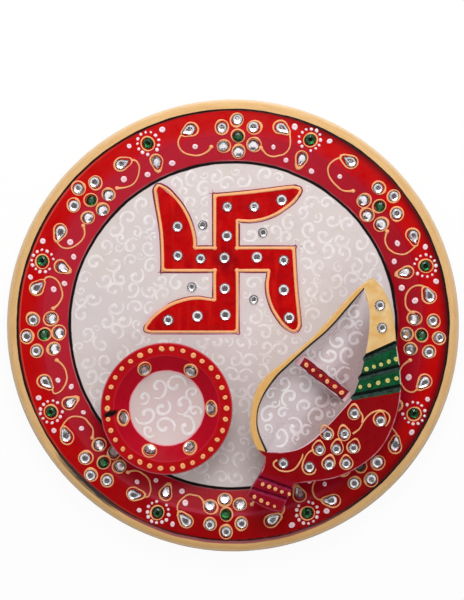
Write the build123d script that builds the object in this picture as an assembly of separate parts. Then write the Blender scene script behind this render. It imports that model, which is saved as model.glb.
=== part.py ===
from build123d import *
from math import acos, asin, atan2, cos, degrees, hypot, pi, radians, sin
import os

# Marble plate: one turned disc with a gilded lip, a painted border and a sunken well
plate_diameter = 230.4
plate_height = 13.0
floor_thickness = 8.5
lip_width = 5.1
lip_round = 3.6
foot_bevel = 1.6
groove_width = 1.6
groove_depth = 0.6
border_flat_width = 11.6
border_slope_width = 13.1
well_step = 0.6

# How trim lies on the marble
glue_line = 0.05
setting_gap = 0.35
setting_width = 0.85
relief_height = 0.7

# Cut of the stones: the girdle's share of the height, the table's share of the width
stone_sides = 12
drop_steps = 10
girdle_share = 0.3
table_share = 0.55

# Border flowers, counted anticlockwise from the right, with the suns that follow each one
flower_angles = (39, 88.5, 138.5, 182.7, 226.5, 267.7, 312, 357)
sun_angles = (67.5, 115, 161.3, 205.4, 248.1, 291.6, 334.1, 377.2)
flower_turns = (-2, 3, 0, 3, -2, 5, 0, -4)
flower_inset = 0.8
petal_diameter = 5.6
petal_height = 2.2
petal_gap = 0.7
petal_count = 6
petal_reach_shares = (1.0, 1.06, 1.02, 0.85, 1.02, 1.06)
centre_diameter = 5.4
centre_height = 2.0

# Border suns: a green stone, a ring of small white drops open at the pendant, and four larger drops
sun_edge_distance = 6.3
sun_diameter = 5.6
sun_height = 2.2
ray_count = 13
ray_diameter = 1.4
ray_height = 0.6
ray_gap = 0.85
drop_diameter = 2.9
drop_height = 0.9
sun_drop_angles = (5.1, 4.6)
sun_drop_shares = (0.88, 0.18)

# Border pendants, one under each sun, tip towards the middle and turned a little by hand
pendant_length = 7.6
pendant_width = 5.2
pendant_height = 2.0
pendant_gap = 1.2
pendant_turns = (3, -14, -10, 7, 2, 0, 0, -5)

# Border leaves, two to a flower, and the gold scrolls that run back to it
leaf_length = 8.6
leaf_width = 5.8
leaf_height = 2.2
scroll_width = 1.0

# For each flower, its leaf towards the next sun and its leaf towards the last one:
# share of the way to that sun, then share of the border's width
leaf_place_shares = (
    ((0.54, 0.75), (0.58, 0.75)),
    ((0.53, 0.73), (0.59, 0.78)),
    ((0.57, 0.64), (0.59, 0.64)),
    ((0.62, 0.63), (0.63, 0.72)),
    ((0.61, 0.64), (0.62, 0.72)),
    ((0.58, 0.68), (0.58, 0.73)),
    ((0.53, 0.75), (0.62, 0.73)),
    ((0.58, 0.69), (0.59, 0.7)),
)

# How far each leaf's tip is turned in from the way round the border
leaf_turns = ((7, 11), (20, 22), (6, 14), (27, 34), (25, 10), (18, 38), (26, 31), (20, 27))

# The scroll from a leaf's tip to its flower, in shares of the way to the leaf and of the border's width
scroll_shares = (
    (1.28, 0.56), (1.3, 0.43), (1.23, 0.31), (1.09, 0.22),
    (0.94, 0.185), (0.78, 0.2), (0.66, 0.26), (0.6, 0.32),
)

# White drop inside each scroll, as a share of the way to the sun, all on one line round the border
scroll_drop_shares = (
    (0.54, 0.57), (0.5, 0.53), (0.63, 0.5), (0.64, 0.66),
    (0.56, 0.58), (0.57, 0.66), (0.57, 0.59), (0.53, 0.59),
)
scroll_drop_line_share = 0.38

# Swastika on the well, set out from the well's middle
swastika_place_shares = (-0.043, 0.403)
swastika_reach = 34.6
swastika_bar_width = 11.4
swastika_line_width = 1.4
swastika_line_height = 0.8
swastika_panel_thickness = 0.3
swastika_stone_diameter = 5.4
swastika_stone_height = 2.2

# One row for each arm: along the arm and out along its hook, in shares of the reach,
# for the corner, the outer edge, the rounded tip's start, top and end, the curved edge and its end
upper_arm_shares = ((0.94, 0), (0.99, 0.4), (1.06, 1.03), (1.03, 1.09), (0.94, 1.06), (0.7, 0.79), (0.57, 0))
right_arm_shares = ((1.0, 0), (1.03, 0.4), (1.08, 0.99), (1.04, 1.05), (0.93, 1.03), (0.72, 0.78), (0.63, 0))
lower_arm_shares = ((1.07, 0), (1.07, 0.4), (1.07, 1.12), (1.04, 1.18), (0.94, 1.14), (0.7, 0.86), (0.6, 0))
left_arm_shares = ((0.93, 0), (0.95, 0.4), (1.04, 1.03), (1.01, 1.08), (0.94, 1.07), (0.6, 0.7), (0.46, 0))
swastika_arm_shares = (left_arm_shares, upper_arm_shares, right_arm_shares, lower_arm_shares)
swastika_stone_shares = (
    (-0.02, 0.02), (0.01, 0.34), (0.02, 0.77), (0.42, 0.77), (0.82, 0.87),
    (0.46, 0.03), (0.85, -0.02), (0.85, -0.45), (0.93, -0.86),
    (-0.02, -0.43), (-0.01, -0.82), (-0.42, -0.84), (-0.85, -0.9),
    (-0.37, 0.01), (-0.71, 0.05), (-0.71, 0.48),
)
quadrant_stone_shares = ((-0.34, 0.5), (0.54, 0.39), (-0.5, -0.41), (0.41, -0.59))

# Bowl: a turned marble dish with a flat rim, a sloping ring and a hollow
bowl_angle = 231.3
bowl_edge_gap = 10.4
bowl_foot_radius = 20.0
bowl_rim_radius = 33.2
bowl_height = 16.0
bowl_rim_thickness = 3.6
bowl_rim_width = 6.4
bowl_slope_width = 7.8
bowl_slope_drop = 6.2
bowl_dish_depth = 4.4
bowl_edge_round = 0.8
bowl_belly_share = 0.36
bowl_stone_angles = (0, 57, 120, 192, 248, 301)
bowl_stone_diameter = 5.9
bowl_stone_height = 2.2
bowl_drop_count = 34
bowl_drop_diameter = 3.0
bowl_drop_height = 1.0

# Conch tray: width and length of its top, then places on it in shares of those two
conch_width = 76.7
conch_length = 117.1
conch_gap = 7.6
conch_place_share = -0.411
conch_height = 22.0
conch_slab = 9.0
conch_skirt_gap = 1.5
conch_edge_bevel = 0.6
conch_pocket_depth = 12.0
conch_middle_shares = (0.56, 0.52)
conch_right_shares = (
    (0.815, 1.0), (0.902, 0.926), (0.946, 0.84), (0.967, 0.726), (0.993, 0.602), (0.993, 0.491),
    (0.942, 0.361), (0.859, 0.265), (0.72, 0.191), (0.571, 0.146), (0.405, 0.129), (0.303, 0.12),
)
conch_spire_shares = ((0.303, 0.12), (0.22, 0.0))
conch_end_shares = ((0.22, 0.0), (0.113, 0.018), (0.0, 0.065))
conch_neck_shares = ((0.0, 0.065), (0.054, 0.135), (0.1, 0.19), (0.109, 0.235))
conch_left_shares = (
    (0.109, 0.235), (0.066, 0.263), (0.027, 0.315), (0.014, 0.384), (0.027, 0.458), (0.074, 0.544),
    (0.188, 0.618), (0.318, 0.686), (0.476, 0.783), (0.615, 0.886), (0.737, 0.966), (0.815, 1.0),
)
pocket_left_shares = (
    (0.122, 0.257), (0.066, 0.349), (0.059, 0.401), (0.074, 0.458), (0.17, 0.566), (0.275, 0.635),
    (0.388, 0.703), (0.519, 0.777), (0.667, 0.886), (0.757, 0.955),
)
pocket_upper_shares = ((0.757, 0.955), (0.793, 0.828), (0.772, 0.692), (0.72, 0.555), (0.676, 0.48))
pocket_lower_shares = ((0.676, 0.48), (0.519, 0.367), (0.405, 0.298), (0.301, 0.263), (0.122, 0.257))
pocket_middle_shares = (0.44, 0.56)
pocket_floor_share = 0.62
conch_foot_share = 0.66
conch_waist_share = 0.72
conch_flare_share = 0.955
conch_foot_shift_shares = (-0.05, 0.05)
divider_shares = ((0.336, 0.652), (0.658, 0.486))
divider_width = 5.6
divider_foot_width = 9.8
divider_sink = 2.6
divider_drop_count = 6
notch_width = 3.4
spire_notch_width = 2.6
notch_depth = 1.4
rib_notch_shares = (
    ((0.762, 0.658), (0.965, 0.718)),
    ((0.736, 0.577), (0.988, 0.618)),
    ((0.69, 0.493), (0.991, 0.533)),
)
spire_notch_shares = (((0.088, 0.143), (0.278, 0.098)), ((0.05, 0.094), (0.252, 0.053)))
conch_drop_shares = (
    ((0.77, 0.61), (0.966, 0.651)),
    ((0.73, 0.532), (0.968, 0.569)),
    ((0.094, 0.119), (0.267, 0.078)),
    ((0.045, 0.064), (0.172, 0.024)),
)
conch_drop_counts = (5, 5, 5, 4)
conch_drop_diameter = 2.0
conch_drop_height = 0.8
conch_stone_diameter = 5.4
conch_stone_height = 2.2
conch_gold_stone_shares = ((0.859, 0.883), (0.874, 0.786))
conch_flower_place_shares = (0.578, 0.27)
conch_flower_turn = 3
conch_ringed_stone_shares = ((0.692, 0.422), (0.863, 0.389))
conch_vine_stone_shares = ((0.4, 0.194), (0.23, 0.209))
conch_vine_width = 1.0
conch_vine_shares = (
    (
        (0.683, 0.334), (0.727, 0.356), (0.75, 0.383), (0.783, 0.411), (0.823, 0.428),
        (0.869, 0.434), (0.906, 0.424), (0.923, 0.407), (0.916, 0.383), (0.896, 0.365),
    ),
    ((0.743, 0.38), (0.747, 0.409), (0.727, 0.435)),
    (
        (0.43, 0.268), (0.391, 0.251), (0.371, 0.23), (0.356, 0.203), (0.356, 0.185),
        (0.375, 0.166), (0.403, 0.161), (0.432, 0.168), (0.445, 0.185),
    ),
    (
        (0.191, 0.223), (0.167, 0.207), (0.196, 0.182), (0.226, 0.175), (0.272, 0.175),
        (0.307, 0.186), (0.336, 0.211), (0.355, 0.236), (0.358, 0.249),
    ),
)

overrun = 1.0

# Radii and heights that follow from the sizes above
plate_radius = plate_diameter / 2
groove_radius = plate_radius - lip_width
border_radius = groove_radius - groove_width
crease_radius = border_radius - border_flat_width
well_radius = crease_radius - border_slope_width
border_width = border_radius - well_radius
slope_drop = plate_height - floor_thickness - well_step
slope_angle = degrees(atan2(slope_drop, border_slope_width))
setting_reach = setting_gap + setting_width
flower_radius = crease_radius - flower_inset
petal_ring_radius = petal_diameter + 2 * setting_reach + petal_gap
sun_radius = border_radius - sun_edge_distance
ray_ring_radius = sun_diameter / 2 + setting_reach + ray_gap + ray_diameter / 2
pendant_outer_radius = sun_radius - sun_diameter / 2 - setting_reach - pendant_gap
pendant_radius = pendant_outer_radius - setting_reach - pendant_length / 2
bowl_distance = well_radius - bowl_foot_radius - bowl_edge_gap
bowl_x = bowl_distance * cos(radians(bowl_angle))
bowl_y = bowl_distance * sin(radians(bowl_angle))
bowl_crease_radius = bowl_rim_radius - bowl_rim_width
bowl_dish_radius = bowl_crease_radius - bowl_slope_width
bowl_slope_angle = degrees(atan2(bowl_slope_drop, bowl_slope_width))
conch_left = bowl_x + bowl_rim_radius + conch_gap
conch_bottom = conch_place_share * well_radius - conch_length / 2
conch_skirt = plate_height - floor_thickness + petal_height + conch_skirt_gap


# Two-dimensional helpers
def closed_face(*lines):
    return make_face([edge for line in lines for edge in line.edges()])


def polygon(points):
    return make_face(Polyline(*points, close=True))


def polar(radius, angle):
    return (radius * cos(radians(angle)), radius * sin(radians(angle)))


def mix(first, last, part):
    return tuple(a + (b - a) * part for a, b in zip(first, last))


# A painted line of even width through some points, with square ends
def ribbon(points, width):
    left = []
    right = []
    for k, (x, y) in enumerate(points):
        before = points[max(k - 1, 0)]
        after = points[min(k + 1, len(points) - 1)]
        run = hypot(after[0] - before[0], after[1] - before[1])
        side_x = -(after[1] - before[1]) / run * width / 2
        side_y = (after[0] - before[0]) / run * width / 2
        left.append((x + side_x, y + side_y))
        right.append((x - side_x, y - side_y))
    return closed_face(Spline(*left), Line(left[-1], right[-1]), Spline(*right), Line(right[0], left[0]))


# Outline of a teardrop, tip towards +X, with its length centred on the origin
def drop_outline(length, width, draw=1.0):
    radius = width / 2
    tip = length - radius
    middle = (tip - radius) / 2
    first = acos(radius / tip)
    turns = [first + (2 * pi - 2 * first) * k / drop_steps for k in range(drop_steps + 1)]
    points = [(tip, 0)] + [(radius * cos(turn), radius * sin(turn)) for turn in turns]
    return polygon([(x * draw - middle, y * draw) for x, y in points])


# Stones with a flat back, a straight girdle and a bevelled crown up to a flat table
def cut_stone(girdle, table, height):
    shoulder = Pos(0, 0, height * girdle_share) * girdle
    return loft([girdle, shoulder, Pos(0, 0, height) * table], ruled=True)


def round_stone(diameter, height):
    girdle = RegularPolygon(diameter / 2, stone_sides)
    table = RegularPolygon(diameter / 2 * table_share, stone_sides)
    return cut_stone(girdle, table, height)


def drop_stone(length, width, height):
    return cut_stone(drop_outline(length, width), drop_outline(length, width, table_share), height)


# Half way along a round cap's arc, as its distance from the axis and from the crown
def cap_middle(radius, height):
    ball = (radius * radius + height * height) / (2 * height)
    half = asin(radius / ball) / 2
    return ball * sin(half), ball * (1 - cos(half))


# A raised drop of paint or paste, a low dome with a flat foot
def paint_drop(diameter, height):
    radius = diameter / 2
    out, down = cap_middle(radius, height)
    dome = ThreePointArc((radius, 0), (out, height - down), (0, height))
    face = closed_face(Line((0, 0), (radius, 0)), dome, Line((0, height), (0, 0)))
    return revolve(Plane.XZ * face, Axis.Z)


# Gold paste round a stone, in plan
def round_setting(diameter):
    inner = diameter / 2 + setting_gap
    return Circle(inner + setting_width) - Circle(inner)


def drop_setting(length, width):
    outline = drop_outline(length, width)
    return offset(outline, amount=setting_reach) - offset(outline, amount=setting_gap)


# Plate
def marble_plate():
    groove_middle = (groove_radius + border_radius) / 2
    lip_lift = lip_round * (1 - cos(pi / 4))
    lip = ThreePointArc(
        (plate_radius, plate_height - lip_round),
        (plate_radius - lip_lift, plate_height - lip_lift),
        (plate_radius - lip_round, plate_height),
    )
    groove = ThreePointArc(
        (groove_radius, plate_height),
        (groove_middle, plate_height - groove_depth),
        (border_radius, plate_height),
    )
    outside = Polyline(
        (0, floor_thickness),
        (0, 0),
        (plate_radius - foot_bevel, 0),
        (plate_radius, foot_bevel),
        (plate_radius, plate_height - lip_round),
    )
    inside = Polyline(
        (border_radius, plate_height),
        (crease_radius, plate_height),
        (well_radius, floor_thickness + well_step),
        (well_radius, floor_thickness),
        (0, floor_thickness),
    )
    top = Line((plate_radius - lip_round, plate_height), (groove_radius, plate_height))
    return revolve(Plane.XZ * closed_face(outside, lip, top, groove, inside), Axis.Z)


# Where a piece of trim sits on the border, square to the surface there
def border_seat(radius, angle, turn=0):
    inward = max(crease_radius - radius, 0)
    tilt = slope_angle if inward > 0 else 0
    height = plate_height - inward * slope_drop / border_slope_width
    place = Pos(*polar(radius, angle), height) * Rot(0, 0, angle) * Rot(0, -tilt, 0)
    return place * Pos(0, 0, glue_line) * Rot(0, 0, turn)


# The layer just over the border that raised gold fills
def border_skin():
    edge = [
        (well_radius, floor_thickness + well_step),
        (crease_radius, plate_height),
        (border_radius, plate_height),
    ]
    under = [(radius, height + glue_line) for radius, height in edge]
    over = [(radius, height + relief_height) for radius, height in reversed(edge)]
    return revolve(Plane.XZ * polygon(under + over), Axis.Z)


def on_border_skin(sketch, skin):
    return extrude(sketch, amount=plate_height + relief_height + overrun) & skin


# Plan places of one flower's petals
def petal_places(number):
    middle = Vector(*polar(flower_radius, flower_angles[number]))
    places = []
    for k, share in enumerate(petal_reach_shares):
        spoke = flower_angles[number] + flower_turns[number] + 360 * k / petal_count
        places.append(middle + Vector(*polar(petal_ring_radius * share, spoke)))
    return places


# The two suns beside a flower, as the turn from the flower to each
def sun_turns(number):
    after = sun_angles[number] - flower_angles[number]
    before = sun_angles[number - 1] - flower_angles[number]
    return [after, (before + 180) % 360 - 180]


def flower_petals(number, stone):
    places = petal_places(number)
    return [border_seat(hypot(p.X, p.Y), degrees(atan2(p.Y, p.X))) * stone for p in places]


def flower_centre(number, stone):
    return border_seat(flower_radius, flower_angles[number]) * stone


# A leaf's distance from the middle, its angle about the plate, and its tip's turn from straight outwards
def leaf_placing(number, side):
    turn = sun_turns(number)[side]
    share = leaf_place_shares[number][side]
    radius = well_radius + share[1] * border_width
    way = 90 + leaf_turns[number][side]
    return radius, flower_angles[number] + turn * share[0], way if turn > 0 else -way


def leaf_pair(number, stone):
    placings = [leaf_placing(number, side) for side in range(2)]
    return [border_seat(*placing) * stone for placing in placings]


# Plan points of a scroll, from its leaf's tip round to the flower
def scroll_points(number, side):
    radius, angle, way = leaf_placing(number, side)
    turn = sun_turns(number)[side] * leaf_place_shares[number][side][0]
    reach = leaf_length / 2 + setting_gap + setting_width / 2
    tip = Vector(*polar(radius, angle)) + Vector(*polar(reach, angle + way))
    return [(tip.X, tip.Y)] + [border_point(number, turn, share) for share in scroll_shares]


def flower_gold(number, skin):
    sketch = Pos(*polar(flower_radius, flower_angles[number])) * round_setting(centre_diameter)
    for place in petal_places(number):
        sketch += Pos(place.X, place.Y) * round_setting(petal_diameter)
    for side in range(2):
        radius, angle, way = leaf_placing(number, side)
        leaf = Pos(*polar(radius, angle)) * Rot(0, 0, angle + way)
        sketch += leaf * drop_setting(leaf_length, leaf_width)
        sketch += ribbon(scroll_points(number, side), scroll_width)
    return on_border_skin(sketch, skin)


# A place beside a flower: share of a turn from it, then share of the border's width
def border_point(number, turn, share):
    return polar(well_radius + share[1] * border_width, flower_angles[number] + turn * share[0])


def scroll_drops(number, drop):
    places = []
    for turn, share in zip(sun_turns(number), scroll_drop_shares[number]):
        angle = flower_angles[number] + turn * share
        places.append(border_seat(well_radius + scroll_drop_line_share * border_width, angle) * drop)
    return places


def sun_rays(number, ray):
    middle = Vector(*polar(sun_radius, sun_angles[number]))
    rays = []
    for k in range(1, ray_count):
        place = middle - Vector(*polar(ray_ring_radius, sun_angles[number] + 360 * k / ray_count))
        rays.append(border_seat(hypot(place.X, place.Y), degrees(atan2(place.Y, place.X))) * ray)
    return rays


def sun_drops(number, drop):
    drops = []
    for share, turn in zip(sun_drop_shares, sun_drop_angles):
        for side in (-turn, turn):
            radius = well_radius + share * border_width
            drops.append(border_seat(radius, sun_angles[number] + side) * drop)
    return drops


def sun_gold(number, skin):
    angle = sun_angles[number]
    sun = Pos(*polar(sun_radius, angle)) * round_setting(sun_diameter)
    pendant = Pos(*polar(pendant_radius, angle)) * Rot(0, 0, angle + 180 + pendant_turns[number])
    return on_border_skin(sun + pendant * drop_setting(pendant_length, pendant_width), skin)


# Swastika
def swastika_place(x_share, y_share):
    x = swastika_place_shares[0] * well_radius + x_share * swastika_reach
    y = swastika_place_shares[1] * well_radius + y_share * swastika_reach
    return (x, y)


def swastika_outline():
    bar_share = swastika_bar_width / 2 / swastika_reach
    lines = []
    for number, shares in enumerate(swastika_arm_shares):
        corner, edge, tip, top, end, curve, root = shares
        rows = (
            (bar_share, -bar_share),
            (corner[0], -bar_share),
            edge,
            tip,
            top,
            end,
            curve,
            (root[0], bar_share),
            (bar_share, bar_share),
        )
        points = [arm_point(number, along, out) for along, out in rows]
        lines.append(Polyline(*points[:4]))
        lines.append(ThreePointArc(*points[3:6]))
        lines.append(ThreePointArc(*points[5:8]))
        lines.append(Line(points[7], points[8]))
    return closed_face(*lines)


# A point of an arm: the arms go left, up, right and down, with hooks turned clockwise
def arm_point(number, along, out):
    turned = {0: (-along, out), 1: (out, along), 2: (along, -out), 3: (-out, -along)}
    return swastika_place(*turned[number])


def swastika_panel():
    inside = offset(swastika_outline(), amount=-swastika_line_width / 2 - glue_line)
    return Pos(0, 0, floor_thickness) * extrude(inside, amount=swastika_panel_thickness)


def swastika_line():
    outline = swastika_outline()
    outer = offset(outline, amount=swastika_line_width / 2)
    inner = offset(outline, amount=-swastika_line_width / 2)
    return Pos(0, 0, floor_thickness) * extrude(outer - inner, amount=swastika_line_height)


def swastika_stones(shares, height, stone):
    return [Pos(*swastika_place(*share), height) * stone for share in shares]


# Bowl
def bowl():
    dish_height = bowl_height - bowl_slope_drop
    rim_under = bowl_height - bowl_rim_thickness
    dish_bottom = dish_height - bowl_dish_depth
    out, rise = cap_middle(bowl_dish_radius, bowl_dish_depth)
    dish = ThreePointArc((bowl_dish_radius, dish_height), (out, dish_bottom + rise), (0, dish_bottom))
    belly = ThreePointArc(
        (bowl_foot_radius, 0),
        mix((bowl_rim_radius, 0), (bowl_foot_radius, rim_under), bowl_belly_share),
        (bowl_rim_radius, rim_under),
    )
    rim = Polyline(
        (bowl_rim_radius, rim_under),
        (bowl_rim_radius, bowl_height - bowl_edge_round),
        (bowl_rim_radius - bowl_edge_round, bowl_height),
        (bowl_crease_radius, bowl_height),
        (bowl_dish_radius, dish_height),
    )
    inside = Polyline((0, dish_bottom), (0, 0), (bowl_foot_radius, 0))
    return revolve(Plane.XZ * closed_face(inside, belly, rim, dish), Axis.Z)


def bowl_place(piece):
    return Pos(bowl_x, bowl_y, floor_thickness) * piece


# Where a stone sits on the bowl's sloping ring, raised clear of the ring's curve
def bowl_seat(angle):
    radius = (bowl_crease_radius + bowl_dish_radius) / 2
    curve = radius / sin(radians(bowl_slope_angle))
    sag = bowl_stone_diameter * bowl_stone_diameter / 8 / curve
    place = Pos(*polar(radius, angle), bowl_height - bowl_slope_drop / 2) * Rot(0, 0, angle)
    return place * Rot(0, -bowl_slope_angle, 0) * Pos(0, 0, sag + glue_line)


def bowl_skin():
    edge = [
        (bowl_dish_radius, bowl_height - bowl_slope_drop),
        (bowl_crease_radius, bowl_height),
    ]
    under = [(radius, height + glue_line) for radius, height in edge]
    over = [(radius, height + relief_height) for radius, height in reversed(edge)]
    return revolve(Plane.XZ * polygon(under + over), Axis.Z)


def bowl_settings():
    skin = bowl_skin()
    ring = extrude(round_setting(bowl_stone_diameter), amount=relief_height * 2, both=True)
    return [bowl_place((bowl_seat(angle) * ring) & skin) for angle in bowl_stone_angles]


def bowl_drops():
    drop = paint_drop(bowl_drop_diameter, bowl_drop_height)
    radius = bowl_rim_radius - bowl_rim_width / 2
    turns = [360 * k / bowl_drop_count for k in range(bowl_drop_count)]
    return [bowl_place(Pos(*polar(radius, turn), bowl_height) * drop) for turn in turns]


# Conch tray: a place on its top, drawn in towards a middle by a share
def conch_point(share, draw=1.0, middle=conch_middle_shares, shift=(0, 0)):
    across = middle[0] + (share[0] - middle[0]) * draw + shift[0]
    along = middle[1] + (share[1] - middle[1]) * draw + shift[1]
    return (conch_left + across * conch_width, conch_bottom + along * conch_length)


def conch_points(shares, **drawn):
    return [conch_point(share, **drawn) for share in shares]


# Top outline with the ribbed spire
def conch_top():
    return closed_face(
        Spline(*conch_points(conch_right_shares)),
        Line(*conch_points(conch_spire_shares)),
        ThreePointArc(*conch_points(conch_end_shares)),
        Spline(*conch_points(conch_neck_shares)),
        Spline(*conch_points(conch_left_shares)),
    )


# Body outline without the spire, at one height
def conch_section(height, **drawn):
    right = conch_points(conch_right_shares, **drawn)
    left = conch_points(conch_left_shares, **drawn)
    face = closed_face(Spline(*right), Line(right[-1], left[0]), Spline(*left))
    return Pos(0, 0, height) * face


def pocket_section(height, draw):
    rows = (pocket_left_shares, pocket_upper_shares, pocket_lower_shares)
    lines = [Spline(*conch_points(row, draw=draw, middle=pocket_middle_shares)) for row in rows]
    return Pos(0, 0, height) * closed_face(*lines)


# A straight run between two places on the conch, with its length and direction
def conch_run(shares):
    first = Vector(*conch_point(shares[0]))
    last = Vector(*conch_point(shares[1]))
    return first, (last - first).normalized(), (last - first).length


def conch_pocket():
    floor = conch_height - conch_pocket_depth
    mouth = 1 + (1 - pocket_floor_share) * overrun / conch_pocket_depth
    hollow = loft(
        [pocket_section(floor, pocket_floor_share), pocket_section(conch_height + overrun, mouth)],
        ruled=True,
    )
    first, way, length = conch_run(divider_shares)
    middle = first + way * (length / 2)
    turn = degrees(atan2(way.Y, way.X))
    foot = Rectangle(length * 2, divider_foot_width)
    crest = Pos(0, 0, conch_pocket_depth - divider_sink) * Rectangle(length * 2, divider_width)
    wall = Pos(middle.X, middle.Y, floor) * Rot(0, 0, turn) * loft([foot, crest], ruled=True)
    return hollow - wall


# A carved notch across the conch's top
def conch_notch(shares, width):
    first, way, length = conch_run(shares)
    start = first - way * width
    plane = Plane(origin=(start.X, start.Y, conch_height), x_dir=(-way.Y, way.X, 0), z_dir=way)
    face = polygon([
        (-width / 2, 0),
        (0, -notch_depth),
        (width / 2, 0),
        (width / 2, overrun),
        (-width / 2, overrun),
    ])
    return extrude(plane * face, amount=length + 2 * width)


def conch_tray():
    slab = Pos(0, 0, conch_height - conch_slab) * extrude(conch_top(), amount=conch_slab)
    slab = chamfer(slab.faces().sort_by(Axis.Z)[-1].edges(), conch_edge_bevel)
    foot = conch_section(0, draw=conch_foot_share, shift=conch_foot_shift_shares)
    waist = conch_section(conch_skirt, draw=conch_waist_share, shift=conch_foot_shift_shares)
    flare = conch_section(conch_height - conch_slab, draw=conch_flare_share)
    well = Cylinder(
        well_radius - conch_skirt_gap,
        conch_skirt,
        align=(Align.CENTER, Align.CENTER, Align.MIN),
    )
    tray = slab + loft([waist, flare], ruled=True) + (loft([foot, waist], ruled=True) & well)
    tray -= conch_pocket()
    for shares in rib_notch_shares:
        tray -= conch_notch(shares, notch_width)
    for shares in spire_notch_shares:
        tray -= conch_notch(shares, spire_notch_width)
    return tray


def conch_place(piece):
    return Pos(0, 0, floor_thickness) * piece


# Plan places of the seven stones of the conch's flower
def conch_flower_places():
    middle = Vector(*conch_point(conch_flower_place_shares))
    ring = conch_stone_diameter + 2 * setting_reach + petal_gap
    turns = [conch_flower_turn + 360 * k / petal_count for k in range(petal_count)]
    return [middle] + [middle + Vector(*polar(ring, turn)) for turn in turns]


def conch_ringed_places():
    return conch_flower_places() + [Vector(*conch_point(s)) for s in conch_ringed_stone_shares]


def conch_stones():
    stone = round_stone(conch_stone_diameter, conch_stone_height)
    bare = [Vector(*conch_point(s)) for s in conch_gold_stone_shares + conch_vine_stone_shares]
    places = conch_ringed_places() + bare
    return [conch_place(Pos(p.X, p.Y, conch_height + glue_line) * stone) for p in places]


def conch_gold():
    sketch = Sketch()
    for place in conch_ringed_places():
        sketch += Pos(place.X, place.Y) * round_setting(conch_stone_diameter)
    for shares in conch_vine_shares:
        sketch += ribbon(conch_points(shares), conch_vine_width)
    relief = extrude(sketch, amount=relief_height - glue_line)
    return conch_place(Pos(0, 0, conch_height + glue_line) * relief)


def conch_drops():
    drop = paint_drop(conch_drop_diameter, conch_drop_height)
    drops = []
    for row, count in zip(conch_drop_shares, conch_drop_counts):
        for k in range(count):
            place = conch_point(mix(row[0], row[1], k / (count - 1)))
            drops.append(conch_place(Pos(*place, conch_height) * drop))
    for k in range(divider_drop_count):
        place = conch_point(mix(divider_shares[0], divider_shares[1], (k + 1) / (divider_drop_count + 1)))
        drops.append(conch_place(Pos(*place, conch_height - divider_sink) * drop))
    return drops


# Every node, as the list of solids that it holds
def all_nodes():
    petal = round_stone(petal_diameter, petal_height)
    centre = round_stone(centre_diameter, centre_height)
    sun = round_stone(sun_diameter, sun_height)
    pendant = drop_stone(pendant_length, pendant_width, pendant_height)
    leaf = drop_stone(leaf_length, leaf_width, leaf_height)
    ray = paint_drop(ray_diameter, ray_height)
    drop = paint_drop(drop_diameter, drop_height)
    swastika_stone = round_stone(swastika_stone_diameter, swastika_stone_height)
    bowl_stone = round_stone(bowl_stone_diameter, bowl_stone_height)
    skin = border_skin()
    panel_top = floor_thickness + swastika_panel_thickness
    nodes = {
        "marble_plate": [marble_plate()],
        "swastika_panel": [swastika_panel()],
        "swastika_gold_line": [swastika_line()],
        "swastika_stones": swastika_stones(swastika_stone_shares, panel_top, swastika_stone),
        "quadrant_stones": swastika_stones(quadrant_stone_shares, floor_thickness, swastika_stone),
        "bowl": [bowl_place(bowl())],
        "bowl_stones": [bowl_place(bowl_seat(angle) * bowl_stone) for angle in bowl_stone_angles],
        "bowl_gold": bowl_settings(),
        "bowl_gold_drops": bowl_drops(),
        "conch_tray": [conch_place(conch_tray())],
        "conch_stones": conch_stones(),
        "conch_gold": [conch_gold()],
        "conch_gold_drops": conch_drops(),
        "border_flower_gold": [],
        "border_sun_gold": [],
        "border_sun_rays": [],
        "border_white_drops": [],
    }
    for number in range(len(flower_angles)):
        name = number + 1
        angle = sun_angles[number]
        nodes[f"flower_{name}_petals"] = flower_petals(number, petal)
        nodes[f"flower_{name}_centre"] = [flower_centre(number, centre)]
        nodes[f"leaf_pair_{name}"] = leaf_pair(number, leaf)
        nodes[f"sun_{name}_stone"] = [border_seat(sun_radius, angle) * sun]
        pendant_way = 180 + pendant_turns[number]
        nodes[f"pendant_{name}_stone"] = [border_seat(pendant_radius, angle, pendant_way) * pendant]
        nodes["border_flower_gold"].append(flower_gold(number, skin))
        nodes["border_sun_gold"].append(sun_gold(number, skin))
        nodes["border_sun_rays"] += sun_rays(number, ray)
        nodes["border_white_drops"] += scroll_drops(number, drop) + sun_drops(number, drop)
    return nodes


os.makedirs("parts", exist_ok=True)
for node, pieces in all_nodes().items():
    solids = [solid for piece in pieces for solid in piece.solids()]
    export_step(Compound(solids), f"parts/{node}.step")
    print(node, len(solids))
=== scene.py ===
import math
import random

import bmesh
import bpy
from mathutils import Matrix, Vector
from mathutils.bvhtree import BVHTree


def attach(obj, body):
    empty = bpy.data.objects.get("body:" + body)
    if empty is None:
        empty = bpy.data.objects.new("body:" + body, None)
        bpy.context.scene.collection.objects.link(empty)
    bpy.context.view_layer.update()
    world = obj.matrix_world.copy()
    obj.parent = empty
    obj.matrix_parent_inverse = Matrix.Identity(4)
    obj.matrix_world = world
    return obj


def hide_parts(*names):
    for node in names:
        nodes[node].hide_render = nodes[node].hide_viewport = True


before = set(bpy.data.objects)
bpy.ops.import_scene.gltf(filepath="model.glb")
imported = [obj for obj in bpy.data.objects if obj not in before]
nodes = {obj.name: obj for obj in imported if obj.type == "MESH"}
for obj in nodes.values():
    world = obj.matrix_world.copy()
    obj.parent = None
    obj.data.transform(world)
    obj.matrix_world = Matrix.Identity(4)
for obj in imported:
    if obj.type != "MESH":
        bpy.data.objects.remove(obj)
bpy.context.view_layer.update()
mm = 0.001
anyTurn = 6.28  # a hand turns a piece any way round
cloudEnds = (0.3, 0.7)  # where noise counts as none and as full
print("frame loaded,", len(nodes), "nodes")


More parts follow.
